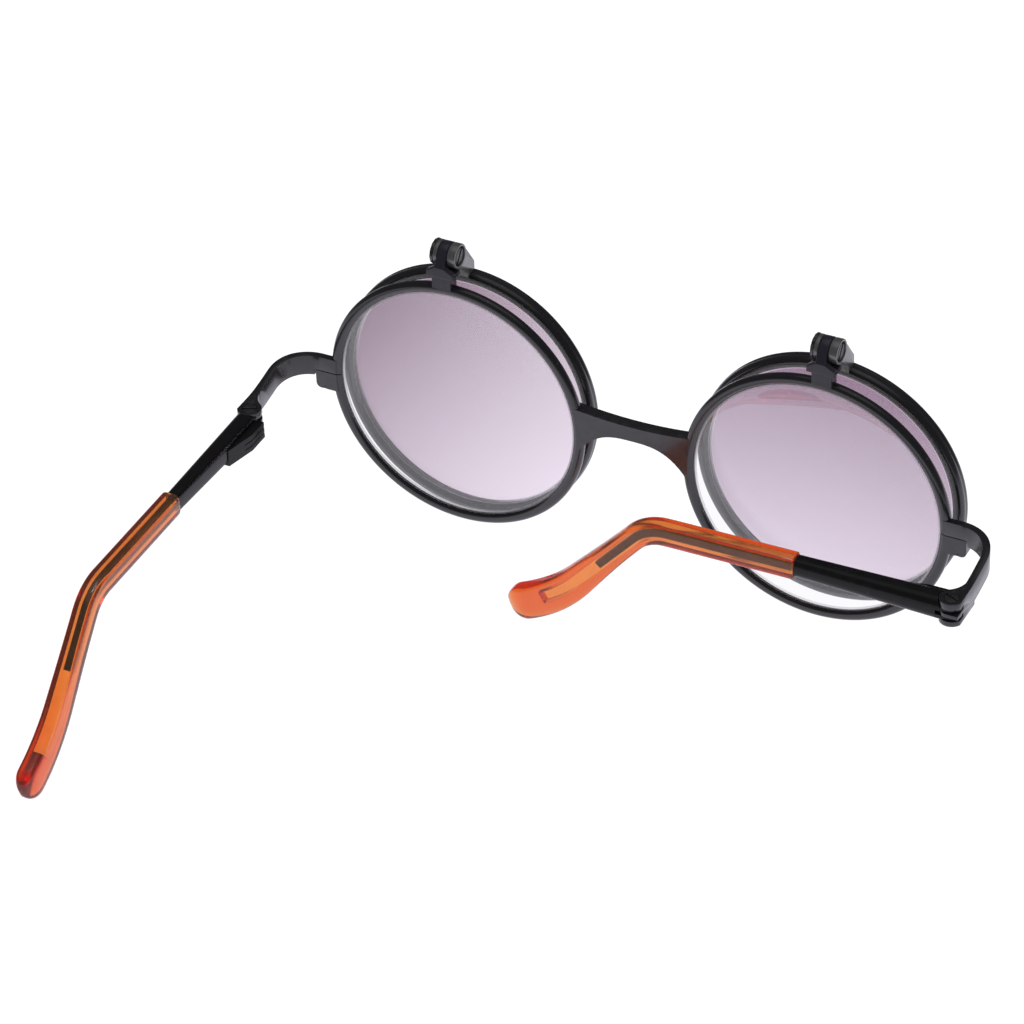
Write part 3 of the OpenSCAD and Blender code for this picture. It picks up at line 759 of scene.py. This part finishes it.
@dataclass(frozen=True)
class RingPlaces:
    """Where the rings and lenses stand, in millimetres, with the tilts of the flip-up pair."""

    ring_x: float = 21.3
    ring_z: float = -2.35
    back_mid_y: float = -0.575
    axis_offset: float = 0.85
    axis_y: float = -1.7
    axis_z: float = 16.25
    flip_dy: float = -2.475
    flip_dz: float = -18.6
    tilts: Range = (2.3, -0.7)

    def back(self, side: Side) -> Matrix:
        """Frame of a back ring, whose own +Z looks forward."""
        place = Vector((side.value * self.ring_x, self.back_mid_y, self.ring_z)) * MM
        return Matrix.Translation(place) @ STAND_UP

    def flip(self, side: Side) -> Matrix:
        """Frame of a flip-up ring at rest, whose own +Z looks forward.

        Args:
            side: the wearer's side.

        Returns:
            The frame.
        """
        x = side.value * (self.ring_x + self.axis_offset)
        axis = Vector((x, self.axis_y, self.axis_z)) * MM
        arm = Vector((-side.value * self.axis_offset, self.flip_dy, self.flip_dz)) * MM
        tilt = math.radians(self.tilts[0 if side is Side.LEFT else 1])
        swing = Matrix.Rotation(tilt, 4, "X")
        return Matrix.Translation(axis) @ swing @ Matrix.Translation(arm) @ STAND_UP


@dataclass(frozen=True)
class EyeWire:
    """Rounded wire ring with a groove for its lens, about its own axis, in millimetres."""

    r_in: float
    r_out: float
    rear: float
    front: float
    groove_half: float
    groove_depth: float = 0.4
    groove_slack: float = 1.02
    lip: float = 0.015
    power: float = 0.62
    waist: float = 0.0
    waist_half: float = 0.16
    cut_deg: float = 0.0
    cut_at: float = 0.0
    around: int = 44
    turns: int = 220
    sharp_deg: float = 55.0

    def bare(self, t: float) -> tuple[float, float]:
        """Gives a point of the rounded section.

        Args:
            t: angle round the section, in radians.

        Returns:
            Radius and height of the point.
        """
        mid_r, mid_z = (self.r_in + self.r_out) / 2, (self.front + self.rear) / 2
        z = mid_z + (self.front - self.rear) / 2 * squared(math.sin(t), self.power)
        r = mid_r + (self.r_out - self.r_in) / 2 * squared(math.cos(t), self.power)
        if math.cos(t) > 0:
            r -= self.waist * math.exp(-(((z - mid_z) / self.waist_half) ** 2))
        return r, z

    def section(self) -> list[tuple[float, float]]:
        """Builds the closed section of the wire, with the groove in its inner side.

        Returns:
            Radius and height of its points.
        """
        points = [self.bare(math.tau * i / self.around) for i in range(self.around)]
        middle, reach = (self.r_in + self.r_out) / 2, self.groove_half * self.groove_slack
        inner = [i for i, (r, z) in enumerate(points) if r < middle and abs(z) <= reach]
        lip, half = self.r_in + self.lip, self.groove_half
        notch = [(lip, half), (self.r_in + self.groove_depth, 0.0), (lip, -half)]
        return points[: inner[0]] + notch + points[inner[-1] + 1 :]

    def mesh(self, name: str) -> Mesh:
        """Spins the section into a ring, open where the rim is sawn through.

        Args:
            name: the mesh's name.

        Returns:
            The mesh.
        """
        skin = bmesh.new()
        section = self.section()
        cut = math.radians(self.cut_deg)
        rows = []
        for i in range(self.turns + (1 if cut else 0)):
            a = self.cut_at + cut / 2 + (math.tau - cut) * i / self.turns
            ring = [(r * math.cos(a) * MM, r * math.sin(a) * MM, z * MM) for r, z in section]
            rows.append([skin.verts.new(p) for p in ring])
        pairs = list(zip(rows, rows[1:])) + ([] if cut else [(rows[-1], rows[0])])
        for a, b in pairs:
            for j in range(len(section)):
                k = (j + 1) % len(section)
                skin.faces.new((a[j], b[j], b[k], a[k]))
        if cut:
            skin.faces.new(rows[0])
            skin.faces.new(rows[-1])
        return smooth_mesh(skin, name, self.sharp_deg)

    def dress(self, seat: Seat, material: Material) -> Object:
        """Makes the ring in its seat."""
        return seat.take("wire", self.mesh(seat.node + "_wire"), material)


@dataclass
class FrontFrame:
    """Rims, bridge, rim locks and end arms."""

    wire: EyeWire = EyeWire(
        r_in=14.2, r_out=15.42, rear=-0.575, front=0.575, groove_half=0.28,
        power=0.88, cut_deg=0.46,
    )
    places: RingPlaces = RingPlaces()
    bridge_edge: EdgeBreak = EdgeBreak(0.16)
    lock_edge: EdgeBreak = EdgeBreak(0.13)
    arm_edge: EdgeBreak = EdgeBreak(0.24, 2)
    screw_edge: EdgeBreak = EdgeBreak(0.05, 2, fitted=True)

    def build(self, black: Material, steel: SteelMaker) -> list[Object]:
        """Builds every piece of the front.

        Args:
            black: the black gloss finish.
            steel: gives a turned steel finish for a node and its axis.

        Returns:
            The pieces.
        """
        body = Body.FRONT.of(Side.LEFT)
        made = [SoftenedPiece("bridge", body, Slot.FRAME, self.bridge_edge).dress(black)]
        for side in Side:
            word = side.word
            wire = replace(self.wire, cut_at=0.0 if side is Side.LEFT else math.pi)
            seat = Seat(f"rim_{word}", body, Slot.FRAME, self.places.back(side))
            made.append(wire.dress(seat, black))
            lock = SoftenedPiece(f"lock_lower_{word}", body, Slot.FRAME, self.lock_edge)
            arm = SoftenedPiece(f"end_arm_{word}", body, Slot.FRAME, self.arm_edge, crowned=True)
            made += [lock.dress(black), arm.dress(black)]
            for kind in ("lock_screw", "temple_screw"):
                screw = SoftenedPiece(f"{kind}_{word}", body, Slot.SCREW, self.screw_edge)
                made.append(screw.dress(steel(screw.node, Vector((0, 0, 1)))))
        return made


@dataclass
class FlipHinges:
    """Hinge feet and posts on the front, and leaves, screws and nuts on the flip-up rims."""

    foot_edge: EdgeBreak = EdgeBreak(0.12)
    post_edge: EdgeBreak = EdgeBreak(0.12, fitted=True)
    leaf_edge: EdgeBreak = EdgeBreak(0.1, fitted=True)
    screw_edge: EdgeBreak = EdgeBreak(0.05, 2, fitted=True)
    foot_squeeze: Triple = (0.7, 0.8, 1.0)
    # A lighter, bluer copy of the black gloss for the hinge feet and posts.
    block_finish: BlackGloss = BlackGloss(
        "blued_gloss_metal", base=(0.0115, 0.0105, 0.0165), ior=1.42, coat=0.1
    )
    # A lighter copy of the black gloss for the flip leaves: its paler colour is a painted
    # highlight for the brighter look the leaves have where light falls on them.
    leaf_finish: BlackGloss = BlackGloss(
        "worn_gloss_metal", base=(0.036, 0.036, 0.038), ior=2.0, roughness=0.3
    )

    def build(self, effects: Effects, steel: SteelMaker) -> list[Object]:
        """Builds both flip hinges.

        Args:
            effects: the shared node groups.
            steel: gives a turned steel finish for a node and its axis.

        Returns:
            The pieces.
        """
        bluish, highlight_copy = self.block_finish.build(effects), self.leaf_finish.build(effects)
        made = []
        front = Body.FRONT.of(Side.LEFT)
        for side in Side:
            word, flip = side.word, Body.FLIP.of(side)
            foot = SoftenedPiece(f"hinge_foot_{word}", front, Slot.FRAME, self.foot_edge)
            foot.squeeze = self.foot_squeeze
            post = SoftenedPiece(f"hinge_post_{word}", front, Slot.FRAME, self.post_edge)
            leaf = SoftenedPiece(f"flip_leaf_{word}", flip, Slot.FRAME, self.leaf_edge)
            made += [foot.dress(bluish), post.dress(bluish), leaf.dress(highlight_copy)]
            for kind in ("flip_screw", "flip_nut"):
                screw = SoftenedPiece(f"{kind}_{word}", flip, Slot.SCREW, self.screw_edge)
                made.append(screw.dress(steel(screw.node, Vector((1, 0, 0)))))
        return made


@dataclass(frozen=True)
class LensBlank:
    """A curved lens with a V edge, in millimetres, about its own axis and bulging along +Z."""

    edge_r: float
    body_r: float
    half_v: float
    thick: float = 0.7
    base_r: float = 95.0
    foot: float = 1e-3
    rings: int = 18
    sides: int = 160
    sharp_deg: float = 25.0

    def height(self, r: float, outer: bool) -> float:
        """Height of the outer or inner face above the V edge's plane, at a radius."""
        ball = self.base_r + (self.thick if outer else -self.thick) / 2
        return math.sqrt(ball**2 - r**2) - math.sqrt(self.base_r**2 - self.edge_r**2)

    def profile(self) -> list[tuple[float, float]]:
        """Builds the half section, from the outer face round the V edge to the inner face.

        Returns:
            Radius and height of its points, without the two on the axis.
        """
        radii = [self.body_r * i / self.rings for i in range(1, self.rings + 1)]
        low = max(self.height(self.body_r, False), -self.half_v) - self.foot
        points = [(r, self.height(r, True)) for r in radii]
        points += [(self.body_r, self.half_v), (self.edge_r, 0.0), (self.body_r, low)]
        points += [(r, self.height(r, False)) for r in reversed(radii[:-1])]
        return points

    def mesh(self, name: str) -> Mesh:
        """Spins the section into a closed skin.

        Args:
            name: the mesh's name.

        Returns:
            The mesh.
        """
        skin = bmesh.new()
        points = self.profile()
        loops = []
        for i in range(self.sides):
            a = math.tau * i / self.sides
            c, d = math.cos(a) * MM, math.sin(a) * MM
            loops.append([skin.verts.new((r * c, r * d, h * MM)) for r, h in points])
        top = skin.verts.new((0, 0, self.height(0, True) * MM))
        low = skin.verts.new((0, 0, self.height(0, False) * MM))
        for i, a in enumerate(loops):
            b = loops[(i + 1) % self.sides]
            skin.faces.new((top, a[0], b[0]))
            skin.faces.new((low, b[-1], a[-1]))
            for j in range(len(points) - 1):
                skin.faces.new((a[j], a[j + 1], b[j + 1], b[j]))
        return smooth_mesh(skin, name, self.sharp_deg)

    def dress(self, seat: Seat, material: Material) -> Object:
        """Makes the lens in its seat."""
        return seat.take("blank", self.mesh(seat.node + "_blank"), material)


@dataclass
class Lenses:
    """Clear lenses in the back rims, and tinted lenses in the flip-up rims."""

    clear: Color = (0.965, 0.965, 0.98)
    clear_ior: float = 1.66
    clear_blank: LensBlank = LensBlank(edge_r=14.6, body_r=14.3, half_v=0.2766)
    tints: tuple[TintRange, TintRange] = (
        TintRange(dark=(0.22, 0.125, 0.195), pale=(0.85, 0.735, 0.86), lean_deg=45.0),
        TintRange(dark=(0.27, 0.165, 0.255), pale=(0.78, 0.665, 0.79), lean_deg=0.0),
    )
    tint_ground: float = 0.00016
    tint_blank: LensBlank = LensBlank(edge_r=14.42, body_r=14.02, half_v=0.3247)
    wire: EyeWire = EyeWire(
        r_in=14.05, r_out=15.36, rear=-0.675, front=1.15, groove_half=0.351,
        power=0.8, waist=0.1,
    )
    places: RingPlaces = RingPlaces()

    def build(self, black: Material, effects: Effects) -> list[Object]:
        """Dresses the lenses and the flip-up rims.

        Args:
            black: the black gloss finish.
            effects: the shared node groups.

        Returns:
            The pieces.
        """
        made = []
        plain = TintRange(self.clear, self.clear, 0.0)
        clear, tinted = self.clear_blank, self.tint_blank
        for side, tint in zip(Side, self.tints):
            word, flip, place = side.word, Body.FLIP.of(side), self.places.flip(side)
            node, front = f"clear_lens_{word}", Body.FRONT.of(side)
            glass = LensGlass(node + "_glass", plain, clear.body_r * MM, self.clear_ior)
            seat = Seat(node, front, Slot.CLEAR, self.places.back(side))
            made.append(clear.dress(seat, glass.build(effects)))
            node, radius = f"tinted_lens_{word}", tinted.body_r * MM
            glass = LensGlass(node + "_glass", tint, radius, ground_width=self.tint_ground)
            seat = Seat(node, flip, Slot.TINT, place)
            made.append(tinted.dress(seat, glass.build(effects)))
            seat = Seat(f"flip_rim_{word}", flip, Slot.FRAME, place)
            made.append(self.wire.dress(seat, black))
        return made


@dataclass(frozen=True)
class TemplePath:
    """Line that a temple follows from its hinge, seen from its side, in millimetres."""

    arm_len: float = 17.2
    bend_dist: float = 34.2
    tip_len: float = 22.4
    bend_deg: float = 48.0
    tip_end_deg: float = 18.0
    bend_r: float = 5.0
    straight_share: float = 0.5

    @property
    def half(self) -> float:
        """Length of the bend's tangent."""
        return self.bend_r * math.tan(math.radians(self.bend_deg) / 2)

    @property
    def s1(self) -> float:
        """Length along the line where the bend starts."""
        return self.bend_dist - self.half

    @property
    def s2(self) -> float:
        """Length along the line where the bend ends."""
        return self.s1 + self.bend_r * math.radians(self.bend_deg)

    @property
    def s3(self) -> float:
        """Length along the line where the ear tip starts to curve back."""
        return self.s2 + (self.tip_len - self.half) * self.straight_share

    @property
    def s4(self) -> float:
        """Length of the whole line."""
        return self.s2 + self.tip_len - self.half

    @property
    def end_r(self) -> float:
        """Radius of the curve at the end of the ear tip."""
        return (self.s4 - self.s3) / math.radians(self.bend_deg - self.tip_end_deg)

    def angle(self, s: float) -> float:
        """Angle of the line below level, in radians, at a length along it."""
        bend = max(0.0, min(s, self.s2) - self.s1) / self.bend_r
        return bend - max(0.0, s - self.s3) / self.end_r

    def point(self, s: float) -> tuple[float, float]:
        """Gives a point of the line.

        Args:
            s: length along the line.

        Returns:
            Distance back from the hinge, and height above the hinge end of the line.
        """
        a, full, now = (self.angle(min(s, limit)) for limit in (self.s2, self.s3, s))
        run, r = max(0.0, min(s, self.s3) - self.s2), self.end_r
        y = min(s, self.s1) + self.bend_r * math.sin(a) + run * math.cos(full)
        z = -self.bend_r * (1 - math.cos(a)) - run * math.sin(full)
        return y + r * (math.sin(full) - math.sin(now)), z + r * (math.cos(full) - math.cos(now))


def ease(t: float) -> float:
    """Eases a share from 0 to 1 with level ends."""
    return (1 - math.cos(math.pi * max(0.0, min(1.0, t)))) / 2


@dataclass
class EarTip:
    """One ear tip: a closed loft with the long hollow that its core wire lies in."""

    side: Side
    path: TemplePath = field(default_factory=TemplePath)
    hinge: Range = (41.2, 10.2)
    mid_z: float = -2.84
    fold_deg: float = 0.5
    tip_h: float = 2.7
    tip_t: float = 2.2
    paddle_h: float = 4.1
    up_share: float = 0.35
    power: float = 0.5
    round_end: float = 2.0
    least_close: float = 0.12
    core_h: float = 1.3
    core_t: float = 0.9
    core_share: float = 0.62
    core_start: float = 0.01
    core_slack: float = 0.02
    core_steps: int = 600
    seat_gap: float = 0.03
    hollow_power: float = 0.12
    hollow_past_bend: float = 17.8
    hollow_steps: tuple[int, int, int] = (8, 14, 16)
    sides: int = 64
    outer_steps: tuple[int, int, int] = (10, 20, 34)
    end_steps: int = 14
    mouth_round: float = 0.18
    mouth_steps: int = 4
    sharp_deg: float = 50.0

    def flare(self, s: float) -> float:
        """Share of the paddle's growth at a length along the line."""
        start = self.path.s2
        return 0.0 if s < start else ease((s - start) / (self.path.s4 - self.round_end - start))

    def close(self, s: float) -> float:
        """Share of the full section that is left at a length along the line."""
        left = min(1.0, (self.path.s4 - s) / self.round_end)
        return max(self.least_close, math.sqrt(max(0.0, 1 - (1 - left) ** 2)))

    def oval(self, s: float, half: float, up: float, down: float, power: float) -> list[Vector]:
        """Builds a squared oval across the line.

        Args:
            s: length along the line.
            half: half its width.
            up: its height above the line.
            down: its depth below the line.
            power: how square it is, see squared.

        Returns:
            Its points, in millimetres from the hinge.
        """
        y, z = self.path.point(s)
        a = self.path.angle(s)
        points = []
        for i in range(self.sides):
            t = math.tau * i / self.sides
            d = math.sin(t)
            h = (up if d > 0 else down) * squared(d, power)
            x = half * squared(math.cos(t), power)
            points.append(Vector((x, y + math.sin(a) * h, z + math.cos(a) * h)))
        return points

    def ring(self, s: float, shrink: float = 0.0) -> list[Vector]:
        """Builds the outer section at a length along the line.

        Args:
            s: length along the line.
            shrink: how far the section is drawn in, for the broken edge at the mouth.

        Returns:
            Its points, in millimetres from the hinge.
        """
        close = self.close(s)
        grow = (self.paddle_h - self.tip_h) * self.flare(s)
        up = (self.tip_h / 2 + grow * self.up_share) * close - shrink
        down = (self.tip_h / 2 + grow * (1 - self.up_share)) * close - shrink
        return self.oval(s, self.tip_t / 2 * close - shrink, up, down, self.power)

    def hollow_ring(self, s: float) -> list[Vector]:
        """Section of the hollow at a length along the line, a rounded slot round the core."""
        h = self.core_h / 2 + self.seat_gap
        return self.oval(s, self.core_t / 2 + self.seat_gap, h, h, self.hollow_power)

    def stations(self) -> list[float]:
        """Places the outer rings, closer where the line bends or closes.

        Returns:
            Their lengths along the line.
        """
        p, n = self.path, self.end_steps
        knots = (p.arm_len + self.seat_gap + self.mouth_round, p.s1, p.s2, p.s4 - self.round_end)
        turns = [math.sin(math.pi / 2 * i / n) for i in range(n + 1)]
        places = spaced(list(zip(knots, knots[1:], self.outer_steps)))
        return places + [p.s4 - self.round_end + self.round_end * turn for turn in turns]

    def place(self, p: Vector) -> Vector:
        """Moves a point to the model's frame at rest.

        Args:
            p: the point, in the hinge's own millimetres.

        Returns:
            The point, in metres.
        """
        a = math.radians(self.fold_deg)
        x = p.x * math.cos(a) - p.y * math.sin(a) + self.hinge[0]
        y = p.x * math.sin(a) + p.y * math.cos(a) + self.hinge[1]
        return Vector((self.side.value * x, y, p.z + self.mid_z)) * MM

    def slim_core(self, p: Vector) -> Vector:
        """Draws a point of the core wire in towards the line, and leaves any other point.

        Args:
            p: the point at rest, in metres.

        Returns:
            The point's new place, in metres.
        """
        a = math.radians(self.fold_deg)
        x = self.side.value * p.x / MM - self.hinge[0]
        y = p.y / MM - self.hinge[1]
        across, back = x * math.cos(a) + y * math.sin(a), y * math.cos(a) - x * math.sin(a)
        height = p.z / MM - self.mid_z
        start, steps = self.path.arm_len, self.core_steps
        if back < start - self.core_start:
            return p
        places = (start + (self.path.s4 - start) * i / steps for i in range(steps + 1))
        line = (self.path.point(s) for s in places)
        y0, z0 = min(line, key=lambda q: (q[0] - back) ** 2 + (q[1] - height) ** 2)
        aside = abs(across) > self.core_t / 2 + self.core_slack
        if aside or math.hypot(back - y0, height - z0) > self.core_h / 2 + self.core_slack:
            return p
        k = self.core_share
        return self.place(Vector((across * k, y0 + (back - y0) * k, z0 + (height - z0) * k)))

    def mesh(self) -> Mesh:
        """Builds the closed skin, outside and hollow.

        Returns:
            The mesh.
        """
        p = self.path
        front, end = p.arm_len + self.seat_gap, p.s2 + self.hollow_past_bend - p.half
        outer = []
        for i in range(self.mouth_steps):
            t, r = math.pi / 2 * i / self.mouth_steps, self.mouth_round
            outer.append(self.ring(front + r * (1 - math.cos(t)), r * (1 - math.sin(t))))
        outer += [self.ring(s) for s in self.stations()]
        knots = (front, p.s1, p.s2, end)
        places = spaced(list(zip(knots, knots[1:], self.hollow_steps))) + [end]
        inner = [self.hollow_ring(s) for s in places]
        skin = bmesh.new()
        rings = list(reversed(inner)) + outer
        rows = [[skin.verts.new(self.place(q)) for q in ring] for ring in rings]
        for a, b in zip(rows, rows[1:]):
            for i in range(self.sides):
                j = (i + 1) % self.sides
                skin.faces.new((a[i], a[j], b[j], b[i]))
        skin.faces.new(rows[0])
        skin.faces.new(rows[-1])
        return smooth_mesh(skin, f"ear_tip_{self.side.word}_loft", self.sharp_deg)

    def dress(self, material: Material) -> Object:
        """Makes the ear tip in its CAD node's place."""
        seat = Seat(f"ear_tip_{self.side.word}", Body.TEMPLE.of(self.side), Slot.TIP)
        return seat.take("loft", self.mesh(), material)


@dataclass
class Temples:
    """Both temples: metal arms and their ear tips."""

    arm_edge: EdgeBreak = EdgeBreak(0.08, 2)
    folds: Range = (0.5, 89.0)
    # A darker copy of the black gloss for the temple arms: its darker colour is painted shade for
    # the dark that their rounder section catches, and it also reflects less.
    arm_finish: BlackGloss = BlackGloss(
        "deep_gloss_metal", base=(0.004, 0.004, 0.0045), ior=1.3, coat=0.0, rub=0.05
    )

    def build(self, effects: Effects, orange: Material) -> list[Object]:
        """Builds both temples.

        Args:
            effects: the shared node groups.
            orange: the clear orange plastic.

        Returns:
            The pieces.
        """
        black = self.arm_finish.build(effects)
        made = []
        for side, fold in zip(Side, self.folds):
            node, body = f"temple_arm_{side.word}", Body.TEMPLE.of(side)
            tip = EarTip(side, fold_deg=fold)
            arm = SoftenedPiece(node, body, Slot.FRAME, self.arm_edge, reshape=tip.slim_core)
            made += [arm.dress(black), tip.dress(orange)]
        return made


@dataclass
class Studio:
    """Pale floor, soft overhead light and pale surroundings, in metres and watts."""

    floor_z: float = -0.0192
    floor_half: float = 2.5
    floor_color: Color = (0.12, 0.12, 0.12)
    floor_patch: float = 0.2
    floor_shade: float = 0.985
    floor_roughness: float = 0.8
    floor_specular: float = 0.1
    floor_glow: float = 0.95
    # Painted reflection of the floor in the metal: where it fades, how bright it glows, and its
    # violet cast.
    mirror_span: Range = (0.07, 0.2)
    mirror_glow: Range = (1.0, 0.06)
    mirror_color: Color = (0.984, 0.963, 1.07)
    world_strength: float = 1.0
    room_span: Range = (0.0, 0.3)
    room_glow: Range = (0.14, 0.06)
    lid_span: Range = (0.76, 0.97)
    lid_glow: Range = (0.0, 0.5)
    soft_box: float = 0.3
    soft_box_place: Triple = (0.05, 0.02, 0.8)
    soft_box_aim: Triple = (0.0, 0.02, 0.0)
    soft_box_power: float = 2.4

    def floor(self) -> Object:
        """Builds the floor; the metal mirrors it as a painted reflection, a glow with a faint
        violet cast.

        Returns:
            The floor.
        """
        h, z = self.floor_half, self.floor_z
        mesh = bpy.data.meshes.new("floor")
        mesh.from_pydata([(-h, -h, z), (h, -h, z), (h, h, z), (-h, h, z)], [], [(0, 1, 2, 3)])
        values = {
            "Roughness": self.floor_roughness,
            "Specular IOR Level": self.floor_specular,
            "Emission Color": (*WHITE, 1.0),
            "Emission Strength": self.floor_glow,
        }
        material, kit, surface, output = Finish.start("pale_floor", values)
        place = kit.place()
        # Painted reflection: glossy rays see the floor as a glow, not as the lit floor. The glow
        # is bright near the glasses and fades to dark further out.
        away = kit.vector("LENGTH", place, out="Value")
        fade = kit.spread(away, self.mirror_span, self.mirror_glow)
        # Rays through a lens count as glossy too, and see the painted reflection without its
        # violet cast.
        cast = kit.mix(kit.ray("Is Transmission Ray"), self.mirror_color, WHITE)
        painted_reflection_shader = kit.add("ShaderNodeEmission", {"Color": cast, "Strength": fade}).outputs[0]
        shown = output.inputs["Surface"]
        kit.blend(kit.ray("Is Glossy Ray"), surface.outputs["BSDF"], painted_reflection_shader, shown)
        shaded = tuple(c * self.floor_shade for c in self.floor_color)
        shade = kit.mix(kit.noise(place, self.floor_patch), self.floor_color, shaded)
        kit.join(shade, surface.inputs["Base Color"])
        mesh.materials.append(material)
        made = new_object("floor", mesh)
        return made

    def world(self) -> None:
        """Builds the surroundings: pale to look at, with a darker room in the reflections."""
        world = bpy.data.worlds.new("studio")
        bpy.context.scene.world = world
        world.use_nodes = True
        kit = NodeTree(world.node_tree)
        kit.tree.nodes.clear()
        out = kit.add("ShaderNodeOutputWorld").inputs["Surface"]
        values = {"Color": (*WHITE, 1.0), "Strength": self.world_strength}
        pale = kit.add("ShaderNodeBackground", values).outputs[0]
        way = kit.add("ShaderNodeTexCoord").outputs["Generated"]
        up = kit.add("ShaderNodeSeparateXYZ", {0: way}).outputs["Z"]
        ramp = kit.spread(up, self.room_span, self.room_glow)
        lid = kit.spread(up, self.lid_span, self.lid_glow)
        room = kit.add("ShaderNodeBackground", {"Strength": kit.plus(ramp, lid)}).outputs[0]
        kit.blend(kit.ray("Is Glossy Ray"), pale, room, out)

    def light(self) -> Object:
        """Adds the square soft box overhead.

        Returns:
            The light.
        """
        data = bpy.data.lights.new("soft_box", "AREA")
        data.shape = "SQUARE"
        data.size = self.soft_box
        data.energy = self.soft_box_power
        made = new_object("soft_box", data)
        place = Vector(self.soft_box_place)
        made.location = place
        made.rotation_mode = "QUATERNION"
        made.rotation_quaternion = (Vector(self.soft_box_aim) - place).to_track_quat("-Z", "Y")
        made.visible_glossy = False
        return made

    def build(self) -> None:
        """Builds the whole studio and sets the tone of the render."""
        self.floor()
        self.world()
        self.light()
        view = bpy.context.scene.view_settings
        view.view_transform = "Standard"
        view.look = "None"


@dataclass
class PhotoCamera:
    """Camera at the photograph's viewing angle, from behind and above the wearer's right."""

    place: Triple = (-0.18576, 0.36972, 0.29678)
    right: Triple = (-0.89117, -0.45212, -0.03744)
    up: Triple = (0.24264, -0.54474, 0.80274)
    back: Triple = (-0.38333, 0.70629, 0.59516)
    focal: float = 167.8
    sensor: float = 36.0
    clip: Range = (0.01, 20.0)

    def build(self) -> Object:
        """Makes the camera and sets it as the scene's.

        Returns:
            The camera.
        """
        data = bpy.data.cameras.new("photo_camera")
        data.lens = self.focal
        data.sensor_width = self.sensor
        data.clip_start, data.clip_end = self.clip
        made = new_object("photo_camera", data)
        columns = Matrix((self.right, self.up, self.back)).transposed().to_4x4()
        made.matrix_world = Matrix.Translation(self.place) @ columns
        bpy.context.scene.camera = made
        return made


def turned_steel(effects: Effects) -> SteelMaker:
    """Gives the function that makes a screw's own turned steel finish.

    Args:
        effects: the shared node groups.

    Returns:
        The function, which takes a node's name and its axis.
    """

    def make(node: str, axis: Vector) -> Material:
        """Makes the finish for one node, about its own centre."""
        center = tuple(sum(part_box(node), Vector()) / 2)
        return TurnedSteel(f"{node}_steel", center, tuple(axis)).build(effects)

    return make


def main() -> None:
    """Builds the studio and every sub-assembly in order."""
    logging.basicConfig(level=logging.INFO, format="%(name)s: %(message)s")
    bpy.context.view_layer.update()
    effects = Effects()
    black = BlackGloss().build(effects)
    orange = OrangeTip().build(effects)
    steel = turned_steel(effects)
    PhotoCamera().build()
    Studio().build()
    made: list[Object] = []
    made += FrontFrame().build(black, steel)
    made += FlipHinges().build(effects, steel)
    made += Lenses().build(black, effects)
    made += Temples().build(effects, orange)
    LOG.info("%d pieces", len(made))
    bpy.context.view_layer.update()


if __name__ == "__main__":
    main()
